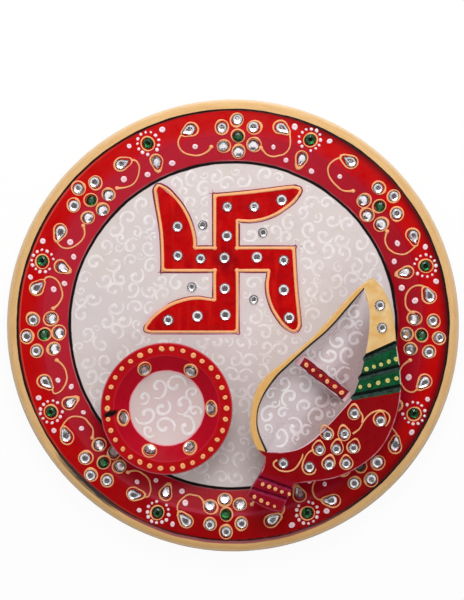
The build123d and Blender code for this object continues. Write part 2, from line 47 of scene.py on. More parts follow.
# Paint chart colours, 0 to 255
def paint(red, green, blue):
    shares = [v / 255 for v in (red, green, blue)]
    return tuple(v / 12.92 if v <= 0.04045 else ((v + 0.055) / 1.055) ** 2.4 for v in shares) + (1.0,)


# Small tools for node trees: a value or a socket goes into a socket, which knows its tree
def isSocket(source):
    return isinstance(source, bpy.types.NodeSocket)


def feed(source, socket):
    if isSocket(source):
        socket.id_data.links.new(source, socket)
    else:
        socket.default_value = source


def newNode(kind, sources, **settings):
    tree = next(source.id_data for source in sources.values() if isSocket(source))
    node = tree.nodes.new("ShaderNode" + kind)
    for name, value in settings.items():
        setattr(node, name, value)
    for name, source in sources.items():
        feed(source, node.inputs[name])
    return node


def calc(operation, first, second=0.0):
    return newNode("Math", {0: first, 1: second}, operation=operation).outputs[0]


def times(share, *others):
    for other in others:
        share = calc("MULTIPLY", share, other)
    return share


def inverse(share):
    return calc("SUBTRACT", 1.0, share)


def layer(share, under, over):
    return newNode("Mix", {0: share, 6: under, 7: over}, data_type="RGBA").outputs[2]


# Coats over a first colour, each with the share that it covers
def coats(colour, *rows):
    for share, shade in rows:
        colour = layer(share, colour, shade)
    return colour


# 0 below an edge and 1 above it
def above(value, edge, soft):
    ends = {0: value, 1: edge - soft, 2: edge + soft}
    return newNode("MapRange", ends, interpolation_type="SMOOTHSTEP").outputs[0]


def between(value, low, high, soft):
    return calc("SUBTRACT", above(value, low, soft), above(value, high, soft))


def vectorStep(operation, first, second=(0, 0, 0)):
    node = newNode("VectorMath", {0: first, 1: second}, operation=operation)
    return node.outputs["Value" if operation in ("DOT_PRODUCT", "LENGTH") else "Vector"]


def heightOf(place):
    return newNode("SeparateXYZ", {0: place}).outputs["Z"]


def radiusOf(place, middle=(0, 0)):
    flat = vectorStep("MULTIPLY", vectorStep("SUBTRACT", place, (*middle, 0)), (1, 1, 0))
    return vectorStep("LENGTH", flat)


# How far a place is to the left of the line from first to last, in plan
def leftOf(place, first, last):
    run = math.hypot(last[0] - first[0], last[1] - first[1])
    side = (-(last[1] - first[1]) / run, (last[0] - first[0]) / run, 0)
    return calc("SUBTRACT", vectorStep("DOT_PRODUCT", place, side), side[0] * first[0] + side[1] * first[1])


def cloud(place, size, detail=2.0):
    return newNode("TexNoise", {"Vector": place, "Scale": 1 / size, "Detail": detail}).outputs[0]


# Clouds that go from a low share to a high one
def mottle(place, size, detail=3.0, low=0.0, high=1.0):
    ends = {0: cloud(place, size, detail), 1: cloudEnds[0], 2: cloudEnds[1], 3: low, 4: high}
    return newNode("MapRange", ends).outputs[0]


# A hand's unsteadiness: some millimetres either way
def waver(value, place, size, reach):
    swing = calc("SUBTRACT", cloud(place, size), 0.5)
    return calc("ADD", value, times(swing, 2 * reach))


# A place drawn out along the rings round the middle, for brush marks that follow them
def ringPlace(place, radius):
    rise = newNode("CombineXYZ", {2: radius})
    return vectorStep("ADD", vectorStep("MULTIPLY", place, (0.14, 0.14, 0)), rise.outputs[0])


# 1 straight out from the middle at a compass angle, less with the turn away from it
def facing(place, radius, angle):
    way = (math.cos(math.radians(angle)), math.sin(math.radians(angle)), 0)
    return calc("DIVIDE", vectorStep("DOT_PRODUCT", place, way), radius)


def shaderOf(material):
    return material.node_tree.nodes["Principled BSDF"]


# A new material and its place, Object coordinates in millimetres
def startMaterial(name, shine=0.3):
    material = bpy.data.materials.new(name)
    material.use_nodes = True
    shaderOf(material).inputs["Specular IOR Level"].default_value = shine
    coordinates = material.node_tree.nodes.new("ShaderNodeTexCoord")
    return material, vectorStep("MULTIPLY", coordinates.outputs["Object"], (1 / mm,) * 3)


# Colour, gloss and, where there are brush marks, their depth
def finishMaterial(material, colour, gloss, marks=None, depth=0.0):
    shader = shaderOf(material)
    feed(colour, shader.inputs["Base Color"])
    feed(gloss, shader.inputs["Roughness"])
    if marks is not None:
        bump = newNode("Bump", {"Distance": depth * mm, "Height": marks})
        feed(bump.outputs["Normal"], shader.inputs["Normal"])
    return material


# Two colours in clouds, gloss as size, low and high, and dents as size, detail and depth
def cloudedMaterial(name, colours, size, detail, gloss, dents=None, shine=0.3):
    material, place = startMaterial(name, shine)
    glossSize, low, high = gloss
    colour = layer(mottle(place, size, detail), *colours)
    shine = mottle(place, glossSize, 2.0, low, high)
    if dents is None:
        return finishMaterial(material, colour, shine)
    return finishMaterial(material, colour, shine, cloud(place, *dents[:2]), dents[2])


# Polished white marble with soft warm and lilac clouds, and the white paint of its curls
marble = {
    "base": paint(222, 211, 208), "warm": paint(216, 202, 192), "lilac": paint(216, 204, 208),
    "vein": paint(196, 184, 180), "swirl": paint(240, 233, 233), "cloudSize": 16.0, "coolSize": 22.4,
    "coolShift": (70, 20, 5), "veinSize": 26.0, "veinWidth": 0.012, "veinShare": 0.16,
}


def marbleColour(place):
    shifted = vectorStep("ADD", place, marble["coolShift"])
    ridge = calc("ABSOLUTE", calc("SUBTRACT", cloud(place, marble["veinSize"], 6.0), 0.5))
    vein = inverse(above(ridge, marble["veinWidth"], marble["veinWidth"]))
    return coats(
        marble["base"],
        (mottle(place, marble["cloudSize"], 4.0, 0.0, 0.6), marble["warm"]),
        (mottle(shifted, marble["coolSize"], 3.0, 0.0, 0.75), marble["lilac"]),
        (times(vein, marble["veinShare"]), marble["vein"]),
    )


def marbleSwirl():
    material, place = startMaterial("marbleSwirl")
    colour = layer(mottle(place, 2.4, 3.0, 0.2), marbleColour(place), marble["swirl"])
    return finishMaterial(material, colour, mottle(place, 1.5, 2.0, 0.4, 0.55))


# The plate: gilded lip, black groove line, red band, crimson slope, black foot line, marble
plate = {
    "radius": 115.2, "top": 13.0, "floor": 8.5, "lip": 110.1, "band": 108.5, "crease": 96.9, "well": 83.8,
    "footLine": 82.5, "slopeDrop": 3.9, "slopeWidth": 13.1, "paintFoot": 4.2,
    "shine": 0.14, "gloss": (0.24, 0.38),
    "gold": paint(228, 181, 118), "paleGold": paint(242, 216, 182), "deepGold": paint(214, 164, 96),
    # Besides the paint's own colours, some here are painted light: a dark maroon shadow, a dusky red shade, a
    # pale crimson highlight, a pink highlight at the slope's foot, mauve and pink sheens, an orange glint and
    # a brown shadow under the lip
    "black": paint(24, 12, 12), "lipShadow": paint(96, 4, 12), "nearShade": paint(120, 0, 6),
    "red": paint(202, 2, 3), "deepRed": paint(174, 2, 5),
    "crimson": paint(176, 8, 30), "deepCrimson": paint(150, 4, 26), "litCrimson": paint(204, 40, 62),
    "footHighlight": paint(206, 112, 118), "creaseSheen": paint(196, 62, 92), "nearEdgeSheen": paint(158, 88, 92),
    "glintOrange": paint(222, 104, 84), "smear": paint(66, 56, 54), "lipEdgeShadow": paint(150, 116, 80),
    # Sides of the plate: a compass angle, then where a look sets in and how softly. At 268 degrees lie
    # painted shade, shadow and sheen, at 130 a painted highlight on the slope, at 8 a painted shadow of the
    # lip, at 185 a painted glint, and at 227 a smudge
    "sides": {
        "near": (268, 0.86, 0.12), "nearShade": (268, 0.72, 0.3), "low": (268, 0.35, 0.35),
        "light": (130, 0.3, 0.5), "soft": (8, 0.38, 0.4), "glintSide": (185, 0.55, 0.25),
        "smear": (227, 0.985, 0.009),
    },
}


def goldColour(place, brushed):
    streak = mottle(brushed, 1.6)
    speck = mottle(place, 0.5, 1.0, 0.0, 0.3)
    return coats(plate["gold"], (streak, plate["deepGold"]), (speck, plate["paleGold"]))


def redColour(place, brushed, bright, deep):
    tone = mottle(place, 12.0, 4.0, 0.0, 0.5)
    streak = mottle(brushed, 1.1, 4.0, 0.0, 0.4)
    return coats(bright, (tone, deep), (streak, deep))


def handDrawn(place, radius):
    return waver(waver(radius, place, 14.0, 0.45), place, 2.5, 0.14)


def platePaint():
    material, place = startMaterial("platePaint", plate["shine"])
    radius = radiusOf(place)
    height = heightOf(place)
    brushed = ringPlace(place, radius)
    drawn = handDrawn(place, radius)
    line = waver(waver(radius, place, 30.0, 0.6), place, 3.0, 0.12)
    crease = waver(radius, place, 7.0, 0.9)
    well, creaseAt, band, lip, rim = (plate[name] for name in ("well", "crease", "band", "lip", "radius"))

    def side(name):
        angle, edge, soft = plate["sides"][name]
        return above(facing(place, radius, angle), edge, soft)

    near = side("near")
    marbleHere = marbleColour(place)
    red = redColour(place, brushed, plate["red"], plate["deepRed"])
    crimson = redColour(place, brushed, plate["crimson"], plate["deepCrimson"])
    # Painted highlight: the slope paler on the side at 130 degrees. The crimson itself is the paint's red
    # with a painted sheen of the sloping face in it
    crimson = layer(times(side("light"), 0.4), crimson, plate["litCrimson"])
    # Painted shade: the gold lip darker on the near side
    gold = layer(times(near, 0.45), goldColour(place, brushed), plate["deepGold"])
    lipLine = calc("SUBTRACT", drawn, times(near, 0.8))
    # Painted shadow under the lip's outer edge on the near side
    under = times(side("low"), above(drawn, rim - 0.5, 0.3), above(height, plate["top"] - 3.4, 0.5))
    smear = times(between(line, band - 0.3, lip + 1.5, 0.5), side("smear"), mottle(brushed, 0.7, 3.0, 0.55))
    colour = coats(
        marbleHere,
        (above(drawn, plate["footLine"], 0.2), plate["black"]),
        # Painted highlight: a pink line at the foot of the slope
        (times(mottle(place, 18.0, 2.0), above(drawn, well + 0.1, 0.15)), plate["footHighlight"]),
        (above(drawn, well + 0.5, 0.3), crimson),
        (above(crease, creaseAt + 1.5, 3.6), red),
        # Painted sheen along the crease on the near side
        (times(between(drawn, creaseAt - 1.7, creaseAt + 0.2, 0.6), near, 0.35), plate["creaseSheen"]),
        # Painted shade: the outer band darker on the near side
        (times(side("nearShade"), above(radius, creaseAt + 1.0, 3.0), 0.55), plate["nearShade"]),
        # Painted shadow of the lip along the band's edge at 8 degrees
        (times(side("soft"), above(line, band - 1.7, 2.2), 0.85), plate["lipShadow"]),
        # Painted glint along the band's edge at 185 degrees
        (times(side("glintSide"), between(line, band - 0.35, band + 0.4, 0.2), 0.55), plate["glintOrange"]),
        (above(line, band + 0.55, 0.35), plate["black"]),
        # Painted sheen between the groove and the gold on the near side
        (times(above(drawn, lip - 0.5, 0.3), near), plate["nearEdgeSheen"]),
        (above(lipLine, lip, 0.15), gold),
        # Painted highlight along the lip's outer edge
        (times(above(drawn, rim - 1.3, 1.0), 0.8), plate["paleGold"]),
        # Painted shadow: brown under the lip's edge on the near side
        (times(under, 0.75), plate["lipEdgeShadow"]),
        (smear, plate["smear"]),
    )
    painted = above(waver(height, place, 9.0, 0.5), plate["paintFoot"], 0.15)
    gilded = above(radius, lip - 1.4, 0.2)
    gloss = calc("ADD", mottle(place, 5.0, 3.0, *plate["gloss"]), times(gilded, 0.22))
    return finishMaterial(material, layer(painted, marbleHere, colour), gloss, cloud(brushed, 1.4, 3.0), 0.03)


# Paste and ink: two colours, the size of their clouds, roughness from and to, depth of dents, shine
paste = {
    "gold": (paint(255, 182, 132), paint(248, 176, 108), 3.0, 0.25, 0.4, 0.04, 0.3),
    "paleDot": (paint(226, 218, 142), paint(204, 190, 100), 1.5, 0.25, 0.4, 0.04, 0.3),
    "paleDimple": (paint(208, 190, 100), paint(186, 166, 82), 1.0, 0.25, 0.4, 0.04, 0.3),
    "peachDot": (paint(255, 196, 134), paint(250, 178, 108), 1.5, 0.25, 0.4, 0.04, 0.3),
    "peachDimple": (paint(246, 160, 116), paint(238, 130, 92), 1.0, 0.25, 0.4, 0.04, 0.3),
    "white": (paint(255, 234, 240), paint(254, 214, 224), 1.2, 0.2, 0.35, 0.04, 1.0),
    "whiteDimple": (paint(248, 196, 210), paint(238, 170, 188), 1.0, 0.25, 0.4, 0.04, 1.0),
    "pen": (paint(98, 14, 42), paint(130, 34, 60), 4.0, 0.35, 0.5, 0.04, 0.3),
    "blackPen": (paint(30, 24, 26), paint(58, 44, 40), 4.0, 0.3, 0.5, 0.04, 0.3),
    # A pale pink for the pocket's lower edge, the paint's pale edge with a painted highlight in it
    "paleEdgeSheen": (paint(238, 206, 216), paint(226, 176, 190), 3.0, 0.3, 0.5, 0.04, 0.3),
    "divider": (paint(158, 4, 24), paint(112, 0, 16), 2.2, 0.25, 0.4, 0.06, 0.3),
}


def pasteMaterial(name):
    first, second, size, low, high, depth, shine = paste[name]
    gloss = (size * 0.6, low, high)
    return cloudedMaterial(name, (first, second), size, 3.0, gloss, (0.8, 2.0, depth), shine)


# Cut glass over a foil back
def stoneGlass(name, *colours):
    glass = cloudedMaterial(name, colours, 4.0, 2.0, (2.0, 0.01, 0.05), shine=0.5)
    shaderOf(glass).inputs["Transmission Weight"].default_value = 1.0
    shaderOf(glass).inputs["IOR"].default_value = 1.52
    return glass


def stoneFoil(name, *colours):
    foil = cloudedMaterial(name, colours, 1.2, 3.0, (0.7, 0.08, 0.22))
    shaderOf(foil).inputs["Metallic"].default_value = 1.0
    return foil


stonePaints = {
    "clear_stone": [
        stoneGlass("clearGlass", (1.0, 0.99, 1.0, 1.0), (0.97, 0.955, 0.965, 1.0)),
        stoneFoil("clearFoil", paint(255, 252, 253), paint(242, 238, 242)),
    ],
    "green_stone": [
        stoneGlass("greenGlass", (0.08, 0.6, 0.32, 1.0), (0.04, 0.45, 0.22, 1.0)),
        stoneFoil("greenFoil", paint(60, 170, 112), paint(16, 104, 60)),
    ],
}
pastes = {name: pasteMaterial(name) for name in paste}
swirlPaint = marbleSwirl()
print("materials mixed")


# Pieces are shaped in millimetres and shrunk to metres at the end
def setDown(name, shape, materials, body, replaced=(), smooth=True):
    bmesh.ops.remove_doubles(shape, verts=shape.verts, dist=0.0005)
    bmesh.ops.recalc_face_normals(shape, faces=shape.faces)
    bmesh.ops.scale(shape, vec=(mm, mm, mm), verts=shape.verts)
    for face in shape.faces:
        face.smooth = smooth
    mesh = meshFrom(shape, name)
    for material in materials:
        mesh.materials.append(material)
    piece = bpy.data.objects.new(name, mesh)
    bpy.context.scene.collection.objects.link(piece)
    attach(piece, body)
    if replaced:
        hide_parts(*replaced)


def meshFrom(shape, name):
    mesh = bpy.data.meshes.new(name)
    shape.to_mesh(mesh)
    shape.free()
    return mesh


def newVerts(shape, count):
    shape.verts.ensure_lookup_table()
    return shape.verts[count:]


# What an operator has made, of one type
def made(result, kind):
    return [item for item in result["geom"] if isinstance(item, kind)]


# Paint on a CAD node itself
def paintNode(name, material):
    nodes[name].data.materials.clear()
    nodes[name].data.materials.append(material)


# Where the CAD has each solid of a node: the middle of its back, its axis and its farthest corners.
# Dictionaries keep an order, which sets don't, so every run finds the same seats
def seats(name):
    shape = bmesh.new()
    shape.from_mesh(nodes[name].data)
    bmesh.ops.remove_doubles(shape, verts=shape.verts, dist=1e-6)
    found = []
    seen = set()
    for start in shape.verts:
        if start in seen:
            continue
        island = [start]
        seen.add(start)
        for vert in island:
            for edge in vert.link_edges:
                other = edge.other_vert(vert)
                if other not in seen:
                    seen.add(other)
                    island.append(other)
        faces = dict.fromkeys(face for vert in island for face in vert.link_faces)
        lowest = min(faces, key=lambda face: face.normal.z).normal.copy()
        flush = (face for face in faces if face.normal.dot(lowest) > 0.999)
        back = dict.fromkeys(vert for face in flush for vert in face.verts)
        points = [vert.co / mm for vert in back]
        middle = sum(points, Vector()) / len(points)
        tip = max(points, key=lambda point: (point - middle).length)
        heel = max(points, key=lambda point: (point - tip).length)
        found.append({"middle": middle, "axis": -lowest, "tip": tip, "heel": heel})
    shape.free()
    return sorted(found, key=lambda seat: tuple(round(v, 2) for v in seat["middle"]))


def seatMatrix(seat, pointed=False):
    if not pointed:
        turn = Vector((0, 0, 1)).rotation_difference(seat["axis"])
        return Matrix.Translation(seat["middle"]) @ turn.to_matrix().to_4x4()
    ahead = (seat["tip"] - seat["heel"]).normalized()
    across = seat["axis"].cross(ahead).normalized()
    turn = Matrix((ahead, across, seat["axis"])).transposed().to_4x4()
    return Matrix.Translation((seat["tip"] + seat["heel"]) / 2) @ turn


# Heights of the painted surfaces, in millimetres
def borderHeight(x, y):
    inward = max(plate["crease"] - math.hypot(x, y), 0)
    return plate["top"] - min(inward, plate["slopeWidth"]) * plate["slopeDrop"] / plate["slopeWidth"]


def level(height):
    return lambda x, y: height


floorHeight = level(plate["floor"])

# A cut stone of unit radius and unit height: a foil cup to the girdle, two rows of facets, a table
stoneCut = {
    "sides": 12, "cup": 1.08, "cupTop": 0.2, "girdle": 0.34, "shoulderWidth": 0.8, "shoulder": 0.66,
    "table": 0.42, "crown": 0.92, "point": 0.62, "pinch": 0.3, "pinchReach": 2.6,
}


def cutStone(pointed):
    shape = bmesh.new()
    sides = stoneCut["sides"]
    bmesh.ops.create_circle(shape, cap_ends=True, radius=1.0, segments=sides)
    bmesh.ops.recalc_face_normals(shape, faces=shape.faces)
    if pointed:
        for vert in shape.verts:
            if vert.co.x > 0:
                vert.co.x += stoneCut["point"] * vert.co.x ** 6
                vert.co.y *= 1 - stoneCut["pinch"] * vert.co.x ** 2 / stoneCut["pinchReach"]
        middle = sum(vert.co.x for vert in shape.verts) / len(shape.verts)
        bmesh.ops.translate(shape, vec=(-middle, 0, 0), verts=shape.verts)
    bmesh.ops.scale(shape, vec=(stoneCut["cup"], stoneCut["cup"], 1), verts=shape.verts)
    face = shape.faces[:][0]
    facet = math.pi / sides
    rows = (
        (1 / stoneCut["cup"], stoneCut["cupTop"], 0.0),
        (1.0, stoneCut["girdle"], 0.0),
        (stoneCut["shoulderWidth"], stoneCut["shoulder"], facet),
        (stoneCut["table"] / stoneCut["shoulderWidth"], stoneCut["crown"], facet),
    )
    height = 0.0
    for width, top, turn in rows:
        grown = bmesh.ops.extrude_face_region(shape, geom=[face])
        verts = made(grown, bmesh.types.BMVert)
        face = made(grown, bmesh.types.BMFace)[0]
        bmesh.ops.translate(shape, vec=(0, 0, top - height), verts=verts)
        bmesh.ops.scale(shape, vec=(width, width, 1), verts=verts)
        if not pointed:
            bmesh.ops.rotate(shape, cent=(0, 0, 0), matrix=Matrix.Rotation(turn, 3, "Z"), verts=verts)
        height = top
    bmesh.ops.triangulate(shape, faces=[face for face in shape.faces if len(face.verts) == 4])
    bmesh.ops.recalc_face_normals(shape, faces=shape.faces)
    for face in shape.faces:
        face.material_index = 1 if face.calc_center_median().z < stoneCut["girdle"] else 0
    return meshFrom(shape, "cutStone")


def stamp(shape, template, matrix):
    count = len(shape.verts)
    shape.from_mesh(template)
    bmesh.ops.transform(shape, matrix=matrix, verts=newVerts(shape, count))


roundCut = cutStone(False)
pearCut = cutStone(True)
pearReach = max(vert.co.x for vert in pearCut.vertices) - min(vert.co.x for vert in pearCut.vertices)
pearWidth = max(vert.co.y for vert in pearCut.vertices) * 2

# Stones: slot, length, height, and the width of the pear-shaped ones
stones = {
    "petal": ("clear_stone", 5.7, 2.0, None), "centre": ("green_stone", 5.3, 1.9, None),
    "sun": ("green_stone", 5.5, 2.0, None), "pendant": ("clear_stone", 7.4, 1.9, 5.0),
    "leaf": ("clear_stone", 8.6, 2.0, 5.7), "swastika": ("clear_stone", 5.6, 2.0, None),
    "quadrant": ("clear_stone", 5.0, 2.0, None), "bowl": ("clear_stone", 5.9, 2.0, None),
    "conch": ("clear_stone", 5.3, 2.0, None),
}
stoneHand = {"slip": 0.12, "raise": 0.02, "lean": 3, "turn": 7, "grow": (0.95, 1.03)}


def layStones(name, kind, node, body="thali"):
    hand = random.Random(name)
    slotName, length, height, width = stones[kind]
    slip, lean, turn = (stoneHand[key] for key in ("slip", "lean", "turn"))
    shape = bmesh.new()
    for seat in seats(node):
        moved = Matrix.Translation((hand.uniform(-slip, slip), hand.uniform(-slip, slip), stoneHand["raise"]))
        leaning = math.radians(hand.uniform(-lean, lean))
        tilt = Matrix.Rotation(leaning, 4, (hand.random(), hand.random(), 0.1))
        way = hand.uniform(0, anyTurn) if width is None else math.radians(hand.uniform(-turn, turn))
        grow = hand.uniform(*stoneHand["grow"])
        place = seatMatrix(seat, width is not None) @ moved @ tilt @ Matrix.Rotation(way, 4, "Z")
        if width is None:
            stamp(shape, roundCut, place @ Matrix.Diagonal((length / 2 * grow, length / 2 * grow, height, 1)))
        else:
            size = (length / pearReach * grow, width / pearWidth * grow, height, 1)
            stamp(shape, pearCut, place @ Matrix.Diagonal(size))
    setDown(name, shape, stonePaints[slotName], body, [node], smooth=False)


numbers = range(1, 9)
for n in numbers:
    layStones(f"flower{n}Petals", "petal", f"flower_{n}_petals")
    layStones(f"flower{n}Centre", "centre", f"flower_{n}_centre")
    layStones(f"sun{n}Stone", "sun", f"sun_{n}_stone")
    layStones(f"pendant{n}Stone", "pendant", f"pendant_{n}_stone")
    layStones(f"leafPair{n}", "leaf", f"leaf_pair_{n}")
bodies = {"swastika": "thali", "quadrant": "thali", "bowl": "loose_bowl", "conch": "loose_conch"}
for kind, body in bodies.items():
    layStones(kind + "Stones", kind, kind + "_stones", body)
print("stones laid")


# Raised drops: a low dome, dimpled where the brush left it
def dropMesh(sides, profile):
    shape = bmesh.new()
    corners = [shape.verts.new((x, 0, z)) for x, z in profile]
    edges = [shape.edges.new(pair) for pair in zip(corners, corners[1:])]
    spinRound(shape, corners + edges, sides)
    bmesh.ops.remove_doubles(shape, verts=shape.verts, dist=0.001)
    rims = [edge for edge in shape.edges if len(edge.link_faces) == 1]
    bmesh.ops.holes_fill(shape, edges=rims, sides=0)
    bmesh.ops.recalc_face_normals(shape, faces=shape.faces)
    for face in shape.faces:
        inner = max(vert.co.xy.length for vert in face.verts) < 0.5
        face.material_index = 1 if inner and face.normal.z > 0 else 0
    return meshFrom(shape, "paintDrop")


def spinRound(shape, geometry, steps):
    bmesh.ops.spin(
        shape, geom=geometry, cent=(0, 0, 0), axis=(0, 0, 1), angle=2 * math.pi, steps=steps, use_merge=True,
    )


largeDrop = dropMesh(14, ((1.0, 0.0), (0.95, 0.5), (0.72, 0.93), (0.45, 0.9), (0.3, 0.72)))
smallDrop = dropMesh(8, ((1.0, 0.0), (0.94, 0.5), (0.62, 0.95)))

# Drops: size, height, how far a hand misses and how much their size varies
drops = {
    "sunRays": (1.75, 0.55, 0.22, 0.22), "whiteDrops": (2.9, 0.7, 0.3, 0.16),
    "bowlGoldDrops": (2.65, 0.7, 0.3, 0.12), "conchDividerDots": (2.2, 0.75, 0.2, 0.25),
    "conchGreenDots": (2.2, 0.7, 0.2, 0.15), "conchSpireDots": (1.9, 0.65, 0.2, 0.2),
}


def layDrops(name, places, template, paints, body, replaced=()):
    hand = random.Random(name)
    size, height, slip, vary = drops[name]
    shape = bmesh.new()
    for seat in places:
        moved = Matrix.Translation((hand.uniform(-slip, slip), hand.uniform(-slip, slip), 0.0))
        turn = Matrix.Rotation(hand.uniform(0, anyTurn), 4, "Z")
        grow = hand.uniform(1 - vary, 1 + vary)
        oval = hand.uniform(0.9, 1.12)
        stretch = Matrix.Diagonal((size / 2 * grow * oval, size / 2 * grow / oval, height, 1))
        stamp(shape, template, seatMatrix(seat) @ moved @ turn @ stretch)
    setDown(name, shape, [pastes[coat] for coat in paints], body, replaced)


whiteDot = ("white", "whiteDimple")
peachDot = ("peachDot", "peachDimple")
paleDot = ("paleDot", "paleDimple")
for name, node, template, paints, body, slotName in (
    ("sunRays", "border_sun_rays", smallDrop, whiteDot[:1], "thali", "white_paint"),
    ("whiteDrops", "border_white_drops", largeDrop, whiteDot, "thali", "white_paint"),
    ("bowlGoldDrops", "bowl_gold_drops", largeDrop, peachDot, "loose_bowl", "gold_paste"),
):
    layDrops(name, seats(node), template, paints, body, [node])
print("drops laid")

# Piped gold: a closed ring with a flat foot, uneven as a hand leaves it
ring = {
    "section": ((-0.5, 0.0), (-0.46, 0.55), (-0.2, 0.95), (0.2, 0.95), (0.46, 0.55), (0.5, 0.0)), "steps": 22,
    "miss": 0.4, "weight": 0.74, "swell": 0.2, "sway": 0.045, "blobWidth": 0.42, "tipWidth": 0.5, "flat": 0.7,
}


def pipeRing(
    shape, radius, width, height, hand, matrix=None, middle=None, lift=None, tip=None, tipReach=0.0, blob=0.7,
):
    count = len(shape.verts)
    corners = [shape.verts.new((radius + x * width, 0, z * height)) for x, z in ring["section"]]
    edges = [shape.edges.new(pair) for pair in zip(corners, corners[1:] + corners[:1])]
    spinRound(shape, corners + edges, ring["steps"])
    phases = [hand.uniform(0, anyTurn) for _ in range(3)]
    thickest = tip if tip is not None else hand.uniform(0, anyTurn)
    off = Vector((hand.uniform(-ring["miss"], ring["miss"]), hand.uniform(-ring["miss"], ring["miss"])))
    fresh = newVerts(shape, count)
    for vert in fresh:
        angle = math.atan2(vert.co.y, vert.co.x)
        out = math.hypot(vert.co.x, vert.co.y) - radius
        near = (angle - thickest + math.pi) % (2 * math.pi) - math.pi
        heavy = ring["weight"] + ring["swell"] * math.sin(angle + phases[0])
        heavy += blob * math.exp(-(near / ring["blobWidth"]) ** 2)
        sway = ring["sway"]
        reach = radius * (1 + sway * math.sin(angle + phases[1]) + sway * math.sin(2 * angle + phases[2]))
        if tip is not None:
            reach += tipReach * math.exp(-(near / ring["tipWidth"]) ** 2)
        full = reach + out * heavy
        vert.co.x = full * math.cos(angle) + off.x
        vert.co.y = full * math.sin(angle) + off.y
        vert.co.z *= ring["flat"] + (1 - ring["flat"]) * heavy
    if matrix is not None:
        bmesh.ops.transform(shape, matrix=matrix, verts=fresh)
        return
    bmesh.ops.translate(shape, vec=(middle[0], middle[1], 0), verts=fresh)
    for vert in fresh:
        vert.co.z += lift(vert.co.x, vert.co.y)


# A mesh along a smooth line through some points, as wide at each as its width
def strokeMesh(points, widths, depth, resolution):
    curve = bpy.data.curves.new("stroke", "CURVE")
    curve.dimensions = "3D"
    curve.bevel_depth = depth
    curve.bevel_resolution = 1
    curve.resolution_u = resolution
    curve.use_fill_caps = True
    spline = curve.splines.new("BEZIER")
    spline.bezier_points.add(len(points) - 1)
    for point, (x, y), width in zip(spline.bezier_points, points, widths):
        point.co = (x, y, 0)
        point.radius = width
    for point in spline.bezier_points:
        point.handle_left_type = "AUTO"
        point.handle_right_type = "AUTO"
    holder = bpy.data.objects.new("stroke", curve)
    mesh = bpy.data.meshes.new_from_object(holder)
    bpy.data.objects.remove(holder)
    bpy.data.curves.remove(curve)
    return mesh


# Piped gold: an open stroke through some points, width by width
def pipeStroke(shape, points, widths, height, lift, resolution=5):
    mesh = strokeMesh(points, widths, 0.5, resolution)
    count = len(shape.verts)
    shape.from_mesh(mesh)
    for vert in newVerts(shape, count):
        vert.co.z = max(vert.co.z, 0) * 2 * height + lift(vert.co.x, vert.co.y)
    bpy.data.meshes.remove(mesh)


# Widths along a stroke, as a hand varies them
def handWidths(hand, points, width, least, most):
    return [width * hand.uniform(least, most) for _ in points]


# A low bead of paste: its place and its three half sizes
def bead(shape, x, y, z, sizes):
    stamp(shape, smallDrop, Matrix.Translation((x, y, z)) @ Matrix.Diagonal((*sizes, 1)))


# Border gold: rings round the petals, pears round the leaves, scrolls back to the flower
borderGold = {
    "petalRing": (3.15, 3.6), "centreRing": 3.3, "sunRing": 3.5, "width": 0.95, "height": 0.55,
    # Pears: radius, width, reach of the tip and weight of the blob on it
    "leafPear": (3.45, 1.05, 2.6, 0.3), "pendantPear": (3.2, 1.0, 2.4, 1.2), "heart": 0.42,
    "scroll": 0.95, "scrollHeight": 0.5, "scrollStart": 1.1, "scrollEnd": (1.2, 1.6), "scrollMiss": 0.3,
    "pastTip": 0.8, "bead": (1.15, 1.05, 0.75), "beadSink": 0.1,
    "scrollShares": (
        (1.28, 0.56), (1.3, 0.43), (1.23, 0.31), (1.09, 0.22),
        (0.94, 0.185), (0.78, 0.2), (0.66, 0.26), (0.6, 0.32),
    ),
    # The bowl's rings: radius, width and height, how deep they sink, how oval they are
    "bowlRing": (3.55, 0.95, 1.0), "bowlSink": 0.3, "bowlOval": 1.08,
}


def polar(radius, angle):
    return (radius * math.cos(angle), radius * math.sin(angle))


def angleOf(point):
    return math.atan2(point.y, point.x)


def scrollPoints(seat, flowerAngle, hand):
    leafAngle = angleOf((seat["tip"] + seat["heel"]) / 2)
    turn = (leafAngle - flowerAngle + math.pi) % (2 * math.pi) - math.pi
    tip = seat["tip"] + (seat["tip"] - seat["heel"]).normalized() * borderGold["pastTip"]
    miss = borderGold["scrollMiss"]
    points = [(tip.x, tip.y)]
    for along, out in borderGold["scrollShares"]:
        radius = plate["well"] + out * (plate["band"] - plate["well"]) + hand.uniform(-miss, miss)
        points.append(polar(radius, flowerAngle + turn * along))
    return points


def borderRing(shape, hand, seat, radius, blob):
    size = (radius, borderGold["width"], borderGold["height"])
    pipeRing(shape, *size, hand, middle=seat["middle"], lift=borderHeight, blob=blob)


def pearRing(shape, hand, seat, pear):
    radius, width, tipReach, blob = pear
    ahead = seat["tip"] - seat["heel"]
    pipeRing(
        shape, radius, width, borderGold["height"], hand, middle=seat["heel"] + ahead * borderGold["heart"],
        lift=borderHeight, tip=angleOf(ahead), tipReach=tipReach, blob=blob,
    )


